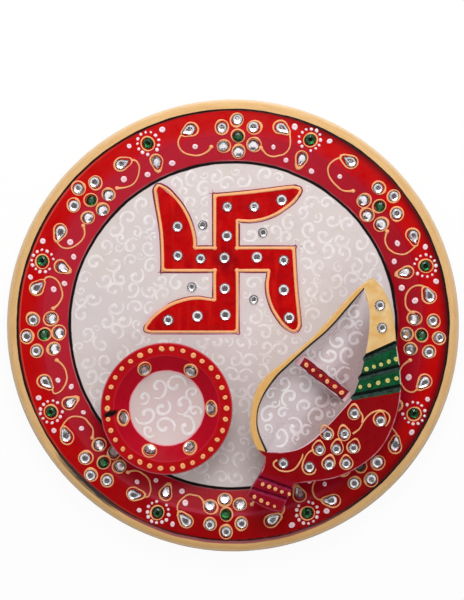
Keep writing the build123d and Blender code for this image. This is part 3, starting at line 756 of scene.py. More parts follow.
def flowerGold():
    hand = random.Random("flowerGold")
    shape = bmesh.new()
    for n in numbers:
        centre = seats(f"flower_{n}_centre")[0]
        for seat in seats(f"flower_{n}_petals"):
            borderRing(shape, hand, seat, hand.uniform(*borderGold["petalRing"]), 0.7)
        borderRing(shape, hand, centre, borderGold["centreRing"], 0.3)
        for seat in seats(f"leaf_pair_{n}"):
            pearRing(shape, hand, seat, borderGold["leafPear"])
            points = scrollPoints(seat, angleOf(centre["middle"]), hand)
            widths = handWidths(hand, points, borderGold["scroll"], 0.85, 1.15)
            widths[0] = borderGold["scrollStart"]
            widths[-2:] = borderGold["scrollEnd"]
            beadFoot = borderHeight(*points[-1]) - borderGold["beadSink"]
            bead(shape, *points[-1], beadFoot, borderGold["bead"])
            pipeStroke(shape, points, widths, borderGold["scrollHeight"], borderHeight)
    setDown("flowerGold", shape, [pastes["gold"]], "thali", ["border_flower_gold"])


def sunGold():
    hand = random.Random("sunGold")
    shape = bmesh.new()
    for n in numbers:
        borderRing(shape, hand, seats(f"sun_{n}_stone")[0], borderGold["sunRing"], 0.5)
        pearRing(shape, hand, seats(f"pendant_{n}_stone")[0], borderGold["pendantPear"])
    setDown("sunGold", shape, [pastes["gold"]], "thali", ["border_sun_gold"])


def bowlGold():
    hand = random.Random("bowlGold")
    shape = bmesh.new()
    for seat in seats("bowl_stones"):
        sunk = seatMatrix(seat) @ Matrix.Translation((0, 0, -borderGold["bowlSink"]))
        oval = Matrix.Diagonal((1.0, borderGold["bowlOval"], 1.0, 1.0))
        pipeRing(shape, *borderGold["bowlRing"], hand, matrix=sunk @ oval, blob=0.5)
    setDown("bowlGold", shape, [pastes["gold"]], "loose_bowl", ["bowl_gold"])


flowerGold()
sunGold()
bowlGold()
print("border and bowl gold piped")

# Swastika: one row for each arm, left, up, right and down, in shares of the reach
swastika = {
    "middle": (-3.6, 33.77), "reach": 34.6, "bar": 0.1647, "line": 1.75, "lineHeight": 0.7,
    "blobHeight": 0.78, "penOut": 1.15, "penWidth": 0.75, "penHeight": 0.14,
    "overshoot": (0.04, 0.09), "overWidths": (0.55, 0.3),
    "bleedIn": 0.3, "bleedReach": 3.2, "bleed": paint(226, 170, 186), "red": paint(195, 3, 5),
    "deepRed": paint(162, 1, 8), "darkRed": paint(120, 0, 11), "streak": paint(222, 34, 22),
    "arms": (
        ((0.93, 0), (0.95, 0.4), (1.04, 1.03), (1.01, 1.08), (0.94, 1.07), (0.6, 0.7), (0.46, 0)),
        ((0.94, 0), (0.99, 0.4), (1.06, 1.03), (1.03, 1.09), (0.94, 1.06), (0.7, 0.79), (0.57, 0)),
        ((1.0, 0), (1.03, 0.4), (1.08, 0.99), (1.04, 1.05), (0.93, 1.03), (0.72, 0.78), (0.63, 0)),
        ((1.07, 0), (1.07, 0.4), (1.07, 1.12), (1.04, 1.18), (0.94, 1.14), (0.7, 0.86), (0.6, 0)),
    ),
}


def armPoint(number, along, out):
    turned = ((-along, out), (out, along), (along, -out), (-out, -along))[number]
    reach = swastika["reach"]
    return (swastika["middle"][0] + turned[0] * reach, swastika["middle"][1] + turned[1] * reach)


# Points on the arc through an arm's end, its curved edge and its root, moved outwards
def arcPoints(end, curve, root, out, shares):
    (ax, ay), (bx, by), (cx, cy) = end, curve, root
    half = 2 * (ax * (by - cy) + bx * (cy - ay) + cx * (ay - by))
    aa, bb, cc = ax * ax + ay * ay, bx * bx + by * by, cx * cx + cy * cy
    middleX = (aa * (by - cy) + bb * (cy - ay) + cc * (ay - by)) / half
    middle = Vector((middleX, (aa * (cx - bx) + bb * (ax - cx) + cc * (bx - ax)) / half))
    first = Vector(end) - middle
    turn = first.angle_signed(Vector(root) - middle)
    grow = 1 + out / first.length
    return [middle + Matrix.Rotation(-turn * share, 2) @ first * grow for share in shares]


# An arm's two edges, moved outwards: from the bar round the corner to the tip, and from the tip back
def armStrokes(number, out=0.0):
    corner, edge, tip, top, end, curve, root = swastika["arms"][number]
    bar = swastika["bar"]
    o = out / swastika["reach"]
    outer = [
        (bar - 0.01, -bar - o), (corner[0] * 0.55, -bar - o),
        (corner[0] - 0.01, -bar - o), (corner[0] + o, -bar - o), (corner[0] + o, -bar + 0.02),
        (edge[0] + o, edge[1]), (tip[0] + o, tip[1] - 0.06), (tip[0] + o, tip[1]),
        (top[0] + o * 0.7, top[1] + o * 0.7),
    ]
    inner = [
        (tip[0] + o, tip[1] - 0.02), (top[0] + o * 0.5, top[1] + o * 0.9), (end[0] - o * 0.2, end[1] + o),
        *arcPoints(end, curve, (root[0], bar), o, (0.28, 0.52, 0.77)),
        (root[0] - o, bar + 0.05 + o), (root[0] - o, bar + o),
        (root[0] - 0.03 - o, bar + o), ((root[0] + bar) / 2, bar + o), (bar - 0.01, bar + o),
    ]
    return [[armPoint(number, *row) for row in rows] for rows in (outer, inner)]


def swastikaGold():
    hand = random.Random("swastikaGold")
    shape = bmesh.new()
    bar = swastika["bar"]
    for number, arm in enumerate(swastika["arms"]):
        for points in armStrokes(number):
            widths = handWidths(hand, points, swastika["line"], 0.82, 1.18)
            pipeStroke(shape, points, widths, swastika["lineHeight"] / swastika["line"], floorHeight)
        for along, out, size in ((bar, bar, 1.3), (arm[0][0] - 0.012, 0.012 - bar, 1.2)):
            blob = (size, size * 0.92, swastika["blobHeight"])
            bead(shape, *armPoint(number, along, out), plate["floor"], blob)
    setDown("swastikaGold", shape, [pastes["gold"]], "thali", ["swastika_gold_line"])


def swastikaPen():
    hand = random.Random("swastikaPen")
    shape = bmesh.new()
    height = swastika["penHeight"]
    for number, arm in enumerate(swastika["arms"]):
        for points in armStrokes(number, swastika["penOut"]):
            widths = handWidths(hand, points, swastika["penWidth"], 0.55, 1.3)
            pipeStroke(shape, points, widths, height, floorHeight)
        along = arm[0][0] + 0.03
        across = -swastika["bar"] - 0.03
        over = hand.uniform(*swastika["overshoot"])
        sideways = ((along - 0.1, across), (along + over, across))
        upright = ((along, across + 0.1), (along, across - over))
        for run in (sideways, upright):
            points = [armPoint(number, *point) for point in run]
            pipeStroke(shape, points, swastika["overWidths"], height, floorHeight)
    setDown("swastikaPen", shape, [pastes["pen"]], "thali")


# The paint's pink bleed in the marble round the line: a skin that fades out into the bare marble
def bleedMaterial():
    material, place = startMaterial("pinkBleed", plate["shine"])
    fade = material.node_tree.nodes.new("ShaderNodeAttribute")
    fade.attribute_name = "fade"
    share = times(calc("POWER", fade.outputs["Fac"], 1.1), mottle(place, 3.5, 3.0, 0.25))
    footLine = above(handDrawn(place, radiusOf(place)), plate["footLine"], 0.2)
    colour = coats(marbleColour(place), (share, swastika["bleed"]), (footLine, plate["black"]))
    return finishMaterial(material, colour, mottle(place, 5.0, 3.0, *plate["gloss"]))


def swastikaBleed():
    shape = bmesh.new()
    fade = shape.verts.layers.float.new("fade")
    top = plate["floor"] + 0.02
    for number in range(4):
        edges = (armStrokes(number, swastika[name]) for name in ("bleedIn", "bleedReach"))
        for near, far in zip(*edges):
            lines = []
            top += 0.005
            for points, value in ((near, 1.0), (far, 0.0)):
                mesh = strokeMesh(points, [1.0] * len(points), 0.0, 5)
                corners = [shape.verts.new((vert.co.x, vert.co.y, top)) for vert in mesh.vertices]
                for corner in corners:
                    corner[fade] = value
                lines.append(corners)
                bpy.data.meshes.remove(mesh)
            for corners in zip(lines[0], lines[0][1:], lines[1][1:], lines[1]):
                shape.faces.new(corners)
    for vert in made(bmesh.ops.extrude_face_region(shape, geom=shape.faces[:]), bmesh.types.BMVert):
        vert.co.z = plate["floor"] + 0.005
    bmesh.ops.recalc_face_normals(shape, faces=shape.faces)
    setDown("swastikaBleed", shape, [bleedMaterial()], "thali", smooth=False)


# The panel's enamel, darker where the brush crossed in the middle
def swastikaEnamel():
    material, place = startMaterial("swastikaEnamel", 0.12)
    drawn = vectorStep("MULTIPLY", place, (1.0, 0.16, 1.0))
    away = waver(radiusOf(place, swastika["middle"]), place, 4.0, 3.0)
    colour = coats(
        swastika["red"],
        (mottle(place, 7.0, 4.0, 0.0, 0.8), swastika["deepRed"]),
        (mottle(drawn, 3.2, 3.0, -0.35, 0.35), swastika["streak"]),
        (times(inverse(above(away, 6.0, 3.0)), 0.6), swastika["darkRed"]),
    )
    return finishMaterial(material, colour, mottle(place, 4.0, 3.0, 0.22, 0.36), cloud(place, 1.8, 3.0), 0.05)


swastikaGold()
swastikaPen()
swastikaBleed()
paintNode("swastika_panel", swastikaEnamel())
print("swastika drawn")

# Bowl: red rim and ring, marble hollow, a black smudge on the rim
bowl = {
    "middle": (-33.4, -41.7), "foot": 8.5, "rim": 33.2, "crease": 26.8, "dish": 19.0, "top": 24.5,
    "dishFloor": 13.92, "dishDepth": 4.4, "red": paint(192, 4, 12), "deepRed": paint(162, 2, 14),
    "slope": paint(196, 2, 34), "deepSlope": paint(166, 0, 28), "dishPink": paint(214, 186, 184),
    # The edge pink is a painted highlight at the dish's edge, also laid paler on the rim's outer edge; the
    # crease colour is a painted highlight
    "edge": paint(240, 150, 164), "creaseHighlight": paint(206, 44, 66), "smudge": paint(18, 10, 10),
    "smudgeAt": (-61.4, -44.2, 0), "smudgeAlong": (0.32, 0.1, 0), "smudgeAcross": (-0.28, 0.94, 0),
}


def bowlPaint():
    material, place = startMaterial("bowlPaint", 0.16)
    radius = radiusOf(place, bowl["middle"])
    height = heightOf(place)
    brushed = ringPlace(place, radius)
    drawn = waver(waver(radius, place, 7.0, 0.4), place, 2.0, 0.15)
    marbleHere = marbleColour(place)
    slope = redColour(place, brushed, bowl["slope"], bowl["deepSlope"])
    rim = redColour(place, brushed, bowl["red"], bowl["deepRed"])
    dish, crease = bowl["dish"], bowl["crease"]
    moved = vectorStep("SUBTRACT", place, bowl["smudgeAt"])
    along, across = (vectorStep("DOT_PRODUCT", moved, bowl[name]) for name in ("smudgeAlong", "smudgeAcross"))
    smear = vectorStep("LENGTH", newNode("CombineXYZ", {0: along, 1: across}).outputs[0])
    colour = coats(
        marbleHere,
        (0.6, bowl["dishPink"]),
        # Painted highlight: a pink ring at the dish's edge
        (above(drawn, dish - 0.45, 0.2), bowl["edge"]),
        (above(drawn, dish + 0.1, 0.2), slope),
        (above(radius, crease, 0.25), rim),
        # Painted highlight along the crease
        (times(between(drawn, crease - 0.4, crease + 0.1, 0.25), 0.6), bowl["creaseHighlight"]),
        (inverse(above(waver(smear, place, 1.3, 0.8), 1.35, 0.6)), bowl["smudge"]),
        (times(above(radius, bowl["rim"] - 0.45, 0.3), 0.4), bowl["edge"]),
    )
    painted = above(waver(height, place, 6.0, 0.4), bowl["top"] - 3.4, 0.15)
    hollow = times(inverse(above(radius, crease + 1.0, 0.1)), above(height, bowl["foot"] + 5.0, 0.1))
    colour = layer(calc("MAXIMUM", painted, hollow), marbleHere, colour)
    gloss = mottle(place, 5.0, 3.0, 0.26, 0.4)
    return finishMaterial(material, colour, gloss, cloud(brushed, 1.4, 3.0), 0.03)


paintNode("bowl", bowlPaint())
print("bowl painted")

# Conch: its top is painted in zones that straight lines part, its pockets are bare marble
conch = {
    "left": 7.4, "bottom": -93.0, "width": 76.7, "length": 117.1,
    "foot": 8.5, "top": 30.5, "dividerTop": 27.9,
    "ribs": (
        ((0.762, 0.658), (0.965, 0.718)), ((0.736, 0.577), (0.988, 0.618)), ((0.69, 0.493), (0.991, 0.533)),
    ),
    "spireRibs": (((0.088, 0.143), (0.278, 0.098)), ((0.05, 0.094), (0.252, 0.053))),
    "ribWidth": 3.4, "spireRibWidth": 2.6, "ribDepth": 1.5, "bevel": 0.65, "paintDepth": 8.6,
    "goldLine": ((65.5, -14.6), (81.4, -7.6)), "greenLine": ((59.5, -37.2), (83.4, -33.0)),
    "rimChord": ((16.8, -62.9), (65.5, 18.8)), "rimEnd": ((8.0, -60.5), (22.0, -64.5)),
    "spireLine": ((12.0, -72.6), (34.0, -78.2)), "dividerLine": ((36.8, -20.7), (56.3, -34.6)),
    "pocketLeft": (
        (0.122, 0.257), (0.066, 0.349), (0.059, 0.401), (0.074, 0.458), (0.17, 0.566), (0.275, 0.635),
        (0.388, 0.703), (0.519, 0.777), (0.667, 0.886), (0.757, 0.955),
    ),
    "pocketLower": ((0.676, 0.48), (0.519, 0.367), (0.405, 0.298), (0.301, 0.263), (0.122, 0.257)),
    "vines": (
        (
            (0.683, 0.334), (0.727, 0.356), (0.75, 0.383), (0.783, 0.411), (0.823, 0.428),
            (0.869, 0.434), (0.906, 0.424), (0.923, 0.407), (0.916, 0.383), (0.896, 0.365),
        ),
        ((0.743, 0.38), (0.747, 0.409), (0.727, 0.435)),
        (
            (0.43, 0.268), (0.391, 0.251), (0.371, 0.23), (0.356, 0.203), (0.356, 0.185),
            (0.375, 0.166), (0.403, 0.161), (0.432, 0.168), (0.445, 0.185),
        ),
        (
            (0.191, 0.223), (0.167, 0.207), (0.196, 0.182), (0.226, 0.175), (0.272, 0.175),
            (0.307, 0.186), (0.336, 0.211), (0.355, 0.236), (0.358, 0.249),
        ),
    ),
    "vine": 0.9, "vineEnds": (1.2, 0.5), "vineHeight": 0.55, "settingRing": (3.15, 0.9, 0.55),
    # Where the dots on the green and on the spire are, and the stones without a setting on tip and spire
    "greenFrom": (60, -37), "spireDots": -70, "tipFrom": -10, "spireStones": (45, -66),
    "gold": paint(224, 172, 94), "paleGold": paint(236, 204, 152), "rim": paint(230, 180, 116),
    "green": paint(18, 92, 50), "deepGreen": paint(6, 58, 34), "red": paint(150, 1, 10),
    "deepRed": paint(124, 0, 9), "spire": paint(156, 8, 32), "deepSpire": paint(120, 2, 24),
    # Bevel colours: bare marble where the brush missed, lightened as a painted highlight along the edge
    "wornSheenRed": (paint(220, 140, 152), paint(192, 44, 62)),
    "wornSheenGreen": (paint(222, 212, 186), paint(150, 160, 130)), "wornSheenSpire": paint(172, 40, 66),
    # Pocket marble and its curls: plain, deep, a pale tone of painted light and a dusky tone of painted shade
    "pocket": (paint(207, 193, 197), paint(204, 190, 193), paint(227, 212, 213), paint(174, 151, 150)),
    "pocketSwirl": (paint(240, 233, 236), paint(222, 211, 214), paint(255, 251, 252), paint(208, 191, 193)),
}
conchHeight = level(conch["top"])


def conchPoint(share):
    return (conch["left"] + share[0] * conch["width"], conch["bottom"] + share[1] * conch["length"])


# Which zone of the conch a place is in: red, then green, gold tip, gold rim and spire over it
def conchZones(place, red, green, gold, rim, spire):
    hand = waver(0.0, place, 3.0, 0.4)

    def leftSide(line):
        return above(calc("ADD", leftOf(place, *conch[line]), hand), 0.0, 0.15)

    rimShare = times(leftSide("rimChord"), leftSide("rimEnd"))
    colour = coats(red, (leftSide("greenLine"), green), (leftSide("goldLine"), gold), (rimShare, rim))
    return layer(leftSide("spireLine"), spire, colour)


def conchReds(place):
    return [redColour(place, place, conch[name], conch["deep" + name.title()]) for name in ("red", "spire")]


def conchTopPaint():
    material, place = startMaterial("conchTopPaint", 0.16)
    fine = mottle(place, 2.5, 4.0)
    red, spire = conchReds(place)
    green = layer(fine, conch["green"], conch["deepGreen"])
    gold = layer(mottle(place, 6.0, 4.0), conch["gold"], conch["paleGold"])
    colour = conchZones(place, red, green, gold, layer(fine, conch["rim"], conch["gold"]), spire)
    return finishMaterial(material, colour, mottle(place, 4.0, 3.0, 0.24, 0.38), cloud(place, 2.0, 3.0), 0.04)


# The bevel round the top, where the brush missed and the marble's paler edge shows, with a painted highlight
# along the edge as well
def conchEdgePaint():
    material, place = startMaterial("conchEdge")
    wornSheen = mottle(place, 3.5)
    pairs = (
        conch["wornSheenRed"], conch["wornSheenGreen"], (conch["paleGold"], conch["gold"]),
        (conch["rim"], conch["paleGold"]), (conch["wornSheenSpire"], conch["spire"]),
    )
    colour = conchZones(place, *(layer(wornSheen, *pair) for pair in pairs))
    return finishMaterial(material, colour, mottle(place, 3.0, 2.0, 0.3, 0.45))


# The sides: painted near the top, bare marble below
def conchSidePaint():
    material, place = startMaterial("conchSidePaint")
    height = waver(heightOf(place), place, 8.0, 0.6)
    red, spire = conchReds(place)
    green = layer(mottle(place, 4.0, 4.0), conch["green"], conch["deepGreen"])
    gold = layer(mottle(place, 6.0, 4.0), conch["rim"], conch["paleGold"])
    painted = above(height, conch["top"] - conch["paintDepth"], 0.2)
    colour = layer(painted, marbleColour(place), conchZones(place, red, green, gold, gold, spire))
    return finishMaterial(material, colour, mottle(place, 4.0, 3.0, 0.2, 0.36), cloud(place, 2.0, 3.0), 0.06)


# Pocket marble with painted light and shade: paler up to the gold rim, dusky towards the far wall
def pocketPaint(name, size):
    material, place = startMaterial(name)
    plain, deep, litTone, shadeTone = conch[name]
    inward = waver(leftOf(place, *conch["rimChord"]), place, 6.0, 1.5)
    upper = above(leftOf(place, *conch["dividerLine"]), 0.0, 2.0)
    paintedLight = above(calc("ADD", inward, times(upper, 9.0)), 4.0, 5.0)
    paintedShade = inverse(above(inward, -9.5, 5.0))
    colour = coats(plain, (mottle(place, size, 4.0), deep), (paintedLight, litTone), (paintedShade, shadeTone))
    return finishMaterial(material, colour, mottle(place, 3.0, 2.0, 0.2, 0.35), cloud(place, 1.6, 3.0), 0.05)


def conchPlain(name, first, second, size):
    return cloudedMaterial(name, (first, second), size, 4.0, (3.0, 0.2, 0.35), (1.6, 3.0, 0.05))


# A CAD copy whose faces are sorted by where they lie and how they face
def conchShell():
    shape = bmesh.new()
    shape.from_mesh(nodes["conch_tray"].data)
    bmesh.ops.remove_doubles(shape, verts=shape.verts, dist=1e-6)
    bmesh.ops.scale(shape, vec=(1 / mm, 1 / mm, 1 / mm), verts=shape.verts)
    shape.normal_update()
    materials = [
        conchTopPaint(),
        pocketPaint("pocket", 11.0),
        conchSidePaint(),
        conchPlain("ribShade", paint(10, 14, 14), paint(18, 34, 28), 3.0),
        conchPlain("ribLit", paint(8, 22, 18), paint(46, 76, 66), 1.6),
        conchPlain("spireShade", paint(92, 5, 32), paint(116, 12, 46), 3.0),
        conchPlain("spireLit", paint(168, 48, 84), paint(140, 18, 50), 2.0),
        conchEdgePaint(),
        conchPlain("dividerTop", paint(230, 200, 206), paint(206, 140, 152), 4.0),
    ]
    topFace, pocketFace, sideFace, ribFace, spireFace, edgeFace, dividerFace = 0, 1, 2, 3, 5, 7, 8
    ribs = [(row, conch["ribWidth"], ribFace) for row in conch["ribs"]]
    ribs += [(row, conch["spireRibWidth"], spireFace) for row in conch["spireRibs"]]
    for face in shape.faces:
        middle = face.calc_center_median()
        kind = sideFace
        if face.normal.z > 0.98 and middle.z > conch["top"] - 0.1:
            kind = topFace
        elif face.normal.z > 0.98 and abs(middle.z - conch["dividerTop"]) < 0.1:
            kind = dividerFace
        elif face.normal.z > 0.05:
            bevel = min(vert.co.z for vert in face.verts) > conch["top"] - conch["bevel"]
            kind = edgeFace if bevel else pocketFace
        for row, width, ribKind in ribs:
            first, last = (Vector(conchPoint(share)) for share in row)
            ahead = (last - first).normalized()
            away = abs((middle.xy - first).dot(Vector((-ahead.y, ahead.x))))
            slanted = 0.5 < face.normal.z < 0.9 and abs(face.normal.xy.dot(ahead)) < 0.05
            if away < width / 2 + 0.05 and slanted and middle.z > conch["top"] - conch["ribDepth"]:
                kind = ribKind + (1 if face.normal.y > 0 else 0)
        face.material_index = kind
    for edge in shape.edges:
        edge.smooth = len(edge.link_faces) == 2 and edge.calc_face_angle() < math.radians(25)
    setDown("conchShell", shape, materials, "loose_conch", ["conch_tray"])


def conchDots():
    dots = seats("conch_gold_drops")
    right, up = conch["greenFrom"]
    green = [seat for seat in dots if seat["middle"].x > right and seat["middle"].y > up]
    spire = [seat for seat in dots if seat["middle"].y < conch["spireDots"]]
    divider = [seat for seat in dots if seat not in green and seat not in spire]
    for name, places, paints, replaced in (
        ("conchDividerDots", divider, peachDot, ["conch_gold_drops"]),
        ("conchGreenDots", green, paleDot, ()),
        ("conchSpireDots", spire, peachDot, ()),
    ):
        layDrops(name, places, largeDrop, paints, "loose_conch", replaced)
    return divider


def conchGold():
    hand = random.Random("conchGold")
    shape = bmesh.new()
    right, up = conch["spireStones"]
    for seat in seats("conch_stones"):
        point = seat["middle"]
        if point.y > conch["tipFrom"] or (point.x < right and point.y < up):
            continue
        pipeRing(
            shape, *conch["settingRing"], hand, middle=point + Vector((0, 0.3, 0)), lift=conchHeight,
            tip=math.pi / 2 + hand.uniform(-0.4, 0.4), tipReach=1.2, blob=0.6,
        )
    for shares in conch["vines"]:
        points = [conchPoint(share) for share in shares]
        widths = handWidths(hand, points, conch["vine"], 0.8, 1.15)
        widths[0], widths[-1] = conch["vineEnds"]
        pipeStroke(shape, points, widths, conch["vineHeight"], conchHeight)
    setDown("conchGold", shape, [pastes["gold"]], "loose_conch", ["conch_gold"])


# Black pen along the pocket's left edge, and a pale line along its lower edge that is the paint's pale edge
# with a painted highlight on the rounded edge
def conchPen():
    hand = random.Random("conchPen")
    for name, line, width, least, pasteName in (
        ("pocketPenLine", "pocketLeft", 0.85, 0.55, "blackPen"),
        ("pocketEdgeSheenLine", "pocketLower", 0.6, 0.6, "paleEdgeSheen"),
    ):
        shape = bmesh.new()
        points = [conchPoint(share) for share in conch[line]]
        pipeStroke(shape, points, handWidths(hand, points, width, least, 1.4), 0.1, conchHeight)
        setDown(name, shape, [pastes[pasteName]], "loose_conch")


# Enamel slopped along the divider's top, its edges uneven
slop = {"past": 2.6, "steps": 13, "width": (4.8, 5.7), "sway": 0.2, "height": 0.045}


def dividerEnamel(dots):
    hand = random.Random("dividerEnamel")
    shape = bmesh.new()
    ends = sorted((seat["middle"].xy for seat in dots), key=lambda point: point.x)
    first, last = ends[0], ends[-1]
    ahead = (last - first).normalized()
    side = Vector((-ahead.y, ahead.x))
    past, steps, sway = (slop[key] for key in ("past", "steps", "sway"))
    length = (last - first).length + 2 * past
    points = [first - ahead * past + ahead * length * k / steps for k in range(steps + 1)]
    widths = [hand.uniform(*slop["width"]) for _ in points]
    points = [point + side * hand.uniform(-sway, sway) for point in points]
    pipeStroke(shape, points, widths, slop["height"], level(conch["dividerTop"]))
    setDown("dividerEnamel", shape, [pastes["divider"]], "loose_conch")


conchShell()
dividerDots = conchDots()
conchGold()
conchPen()
dividerEnamel(dividerDots)
print("conch finished")

# White curls on the bare marble: large ones first, then smaller ones in the room left over
curls = {
    "well": {"low": (-80, -80), "high": (80, 80), "sizes": (4.1, 3.8, 3.4, 2.8, 2.2)},
    "bowl": {"low": (-53, -61), "high": (-14, -22), "sizes": (5.2, 4.3, 3.2)},
    "conch": {"low": (8, -70), "high": (70, 22), "sizes": (4.6, 3.8, 3.0, 2.4)},
    "tries": 4000, "height": 0.04, "width": 1.5, "widthShare": 0.38, "gap": -0.5, "margin": 0.2,
    "resolution": 3, "sizeVary": (0.94, 1.06), "widthVary": (0.75, 1.25),
    "shape": (
        (-0.1, -0.1, 1.15), (0.15, 0.15, 1.2), (0.0, 0.55, 1.0), (-0.5, 0.7, 0.95),
        (-0.9, 0.2, 0.95), (-0.75, -0.5, 0.9), (-0.1, -0.9, 0.8), (0.5, -0.75, 0.45),
    ),
}


def curl(shape, x, y, size, hand, lift):
    turn = hand.uniform(0, 2 * math.pi)
    flip = hand.choice((-1, 1))
    stroke = min(curls["width"], size * curls["widthShare"])
    points = []
    widths = []
    for across, along, width in curls["shape"]:
        px = across * size * flip * hand.uniform(*curls["sizeVary"])
        py = along * size * hand.uniform(*curls["sizeVary"])
        right = px * math.cos(turn) - py * math.sin(turn)
        ahead = px * math.sin(turn) + py * math.cos(turn)
        points.append((x + right, y + ahead))
        widths.append(width * stroke * hand.uniform(*curls["widthVary"]))
    pipeStroke(shape, points, widths, curls["height"] / curls["width"], lift, curls["resolution"])


def scatterCurls(name, area, room, lift, body, material):
    hand = random.Random(name)
    low, high = area["low"], area["high"]
    places = []

    def free(x, y, size):
        apart = all(math.hypot(x - a, y - b) > size + other + curls["gap"] for a, b, other in places)
        return apart and room(x, y) > size + curls["margin"]

    for size in area["sizes"]:
        for _ in range(curls["tries"]):
            x = hand.uniform(low[0], high[0])
            y = hand.uniform(low[1], high[1])
            if free(x, y, size):
                places.append((x, y, size))
    shape = bmesh.new()
    for x, y, size in places:
        curl(shape, x, y, size, hand, lift)
    print(name, len(places))
    setDown(name, shape, [material], body, smooth=False)


def segmentDistance(here, first, last):
    run = last - first
    part = max(0.0, min(1.0, (here - first).dot(run) / max(run.length_squared, 1e-9)))
    return (here - first - run * part).length


def insideTriangle(p, a, b, c):
    signs = []
    for first, last in ((a, b), (b, c), (c, a)):
        signs.append((last.x - first.x) * (p.y - first.y) - (last.y - first.y) * (p.x - first.x))
    return min(signs) >= 0 or max(signs) <= 0


# Height and facing of the conch's surface under a point, from a copy of its solid
conchTree = BVHTree.FromPolygons(
    [vert.co / mm for vert in nodes["conch_tray"].data.vertices],
    [face.vertices[:] for face in nodes["conch_tray"].data.polygons],
)


def conchUnder(x, y):
    hit, normal, _, _ = conchTree.ray_cast(Vector((x, y, 50)), Vector((0, 0, -1)))
    return hit, normal


def pocketHeight(x, y):
    hit, normal = conchUnder(x, y)
    return hit.z + 0.06 / max(normal.z, 0.3) if hit else conch["foot"]


# Room round a point before the rim, the divider's top, the conch's outside or too steep a wall
pocketSpace = {"reach": 6, "step": 0.8, "ways": 8, "overFoot": 9, "underRim": 1.2, "steepest": 0.2}


def pocketRoom(x, y):
    low = conch["foot"] + pocketSpace["overFoot"]
    high = conch["top"] - pocketSpace["underRim"]
    reach = 0.0
    while reach < pocketSpace["reach"]:
        for k in range(pocketSpace["ways"]):
            px, py = polar(reach, k * 2 * math.pi / pocketSpace["ways"])
            hit, normal = conchUnder(x + px, y + py)
            if hit is None or not low < hit.z < high or normal.z < pocketSpace["steepest"]:
                return reach
            if normal.z > 0.98 and hit.z > conch["dividerTop"] - 0.2:
                return reach
        reach += pocketSpace["step"]
    return reach


# Room in the well before the foot line, the bowl, the stones, the swastika and the conch's foot
def wellRooms():
    tight = 3
    bowlFoot = 20.6
    lines = []
    for number in range(4):
        for points in armStrokes(number):
            corners = [Vector(point) for point in points]
            lines += list(zip(corners, corners[1:]))
    stonePoints = [seat["middle"].xy for seat in seats("quadrant_stones")]
    footTop = (conch["foot"] + 8.4) * mm
    conchFoot = [vert.co.xy / mm for vert in nodes["conch_tray"].data.vertices if vert.co.z < footTop]
    footMiddle = sum(conchFoot, Vector((0, 0))) / len(conchFoot)
    footReach = [point - footMiddle for point in conchFoot]
    panel = nodes["swastika_panel"].data
    panelFaces = [face.vertices for face in panel.polygons if face.normal.z > 0.9]
    triangles = [[panel.vertices[i].co.xy / mm for i in face] for face in panelFaces]

    def insideFoot(here):
        away = here - footMiddle
        if away.length == 0:
            return False
        way = away.normalized()
        reaches = [point for point in footReach if point.length > 0]
        same = [point.length for point in reaches if point.normalized().dot(way) > 0.96]
        return bool(same) and away.length < max(same)

    def room(x, y):
        here = Vector((x, y))
        space = min(plate["footLine"] - here.length, (here - Vector(bowl["middle"])).length - bowlFoot)
        if space < tight:
            return space
        space = min(space, min((here - point).length for point in stonePoints) - 2.0)
        space = min(space, min(segmentDistance(here, *line) for line in lines) - 0.7)
        if space < tight:
            return space
        space = min(space, min((here - point).length for point in conchFoot) - 0.5)
        if space < tight or insideFoot(here) or any(insideTriangle(here, *corners) for corners in triangles):
            return min(space, 0.0)
        return space

    return room


def dishRadius(x, y):
    return math.hypot(x - bowl["middle"][0], y - bowl["middle"][1])


def dishRoom(x, y):
    return bowl["dish"] - 1.0 - dishRadius(x, y)


def dishHeight(x, y):
    depth = bowl["dishDepth"]
    ball = (bowl["dish"] ** 2 + depth ** 2) / (2 * depth)
    return bowl["dishFloor"] + ball - math.sqrt(max(ball * ball - dishRadius(x, y) ** 2, 1))


scatterCurls("wellCurls", curls["well"], wellRooms(), floorHeight, "thali", swirlPaint)
scatterCurls("bowlCurls", curls["bowl"], dishRoom, dishHeight, "loose_bowl", swirlPaint)
# The pockets' curls carry the same painted light and shade as the pocket marble
pocketSwirl = pocketPaint("pocketSwirl", 2.4)
scatterCurls("conchCurls", curls["conch"], pocketRoom, pocketHeight, "loose_conch", pocketSwirl)
print("curls painted")

paintNode("marble_plate", platePaint())

# Studio: pale floor, dim spot overhead, soft key from the swastika's side
studio = {
    "cameraHeight": 1.035, "cameraAt": (-0.0005, 0.01295), "lens": 120.7, "sensor": 36,
    "floorSize": 6.0, "floorGap": 0.0002, "floor": (0.92, 0.92, 0.92, 1), "floorGlow": 0.93,
    "keyPower": 1.3, "keyAngle": 42, "keySide": 0.06, "keyDistance": 0.5, "keySize": 0.35,
    "sky": 1.0, "zenith": 0.1, "zenithEdge": 0.92, "zenithSoft": 0.025,
    "horizon": 0.2, "horizonEdge": 0.58, "horizonSoft": 0.12,
}


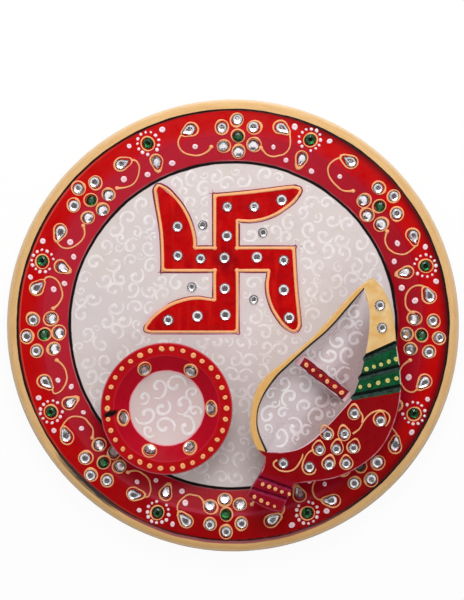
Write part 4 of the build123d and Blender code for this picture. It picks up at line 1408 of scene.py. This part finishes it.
def floor():
    shape = bmesh.new()
    bmesh.ops.create_grid(shape, x_segments=1, y_segments=1, size=studio["floorSize"])
    bmesh.ops.translate(shape, vec=(0, 0, -studio["floorGap"]), verts=shape.verts)
    mesh = meshFrom(shape, "floor")
    material = bpy.data.materials.new("floorPaper")
    material.use_nodes = True
    tree = material.node_tree
    shader = shaderOf(material)
    shader.inputs["Base Color"].default_value = studio["floor"]
    shader.inputs["Roughness"].default_value = 0.9
    glow = tree.nodes.new("ShaderNodeEmission")
    path = tree.nodes.new("ShaderNodeLightPath")
    seen = calc("MAXIMUM", path.outputs["Is Camera Ray"], path.outputs["Is Glossy Ray"])
    seen = times(calc("MAXIMUM", seen, path.outputs["Is Transmission Ray"]), studio["floorGlow"])
    blend = newNode("MixShader", {0: seen, 1: shader.outputs[0], 2: glow.outputs[0]})
    feed(blend.outputs[0], tree.nodes["Material Output"].inputs["Surface"])
    mesh.materials.append(material)
    ground = bpy.data.objects.new("floor", mesh)
    bpy.context.scene.collection.objects.link(ground)


def skyLight():
    world = bpy.data.worlds.new("studioSky")
    world.use_nodes = True
    tree = world.node_tree
    coordinates = tree.nodes.new("ShaderNodeTexCoord")
    path = tree.nodes.new("ShaderNodeLightPath")
    height = heightOf(coordinates.outputs["Generated"])
    low, bright, dark = ((studio[name],) * 3 + (1,) for name in ("horizon", "sky", "zenith"))
    risen = above(height, studio["horizonEdge"], studio["horizonSoft"])
    overhead = above(height, studio["zenithEdge"], studio["zenithSoft"])
    colour = coats(low, (risen, bright), (overhead, dark), (path.outputs["Is Camera Ray"], (1, 1, 1, 1)))
    feed(colour, tree.nodes["Background"].inputs["Color"])
    bpy.context.scene.world = world


def keyLamp():
    light = bpy.data.lights.new("key", "AREA")
    light.energy = studio["keyPower"]
    light.shape = "DISK"
    light.size = studio["keySize"]
    holder = bpy.data.objects.new("key", light)
    slant = math.radians(studio["keyAngle"])
    side = studio["keySide"]
    way = Vector((math.sin(slant) * math.sin(side), math.sin(slant) * math.cos(side), math.cos(slant)))
    holder.location = way * studio["keyDistance"]
    holder.rotation_mode = "QUATERNION"
    holder.rotation_quaternion = way.to_track_quat("Z", "Y")
    bpy.context.scene.collection.objects.link(holder)


def camera():
    lens = bpy.data.cameras.new("overhead")
    lens.lens = studio["lens"]
    lens.sensor_width = studio["sensor"]
    holder = bpy.data.objects.new("overhead", lens)
    holder.location = (*studio["cameraAt"], studio["cameraHeight"])
    bpy.context.scene.collection.objects.link(holder)
    bpy.context.scene.camera = holder


floor()
skyLight()
keyLamp()
camera()
bpy.context.scene.view_settings.view_transform = "Standard"
print("studio set")
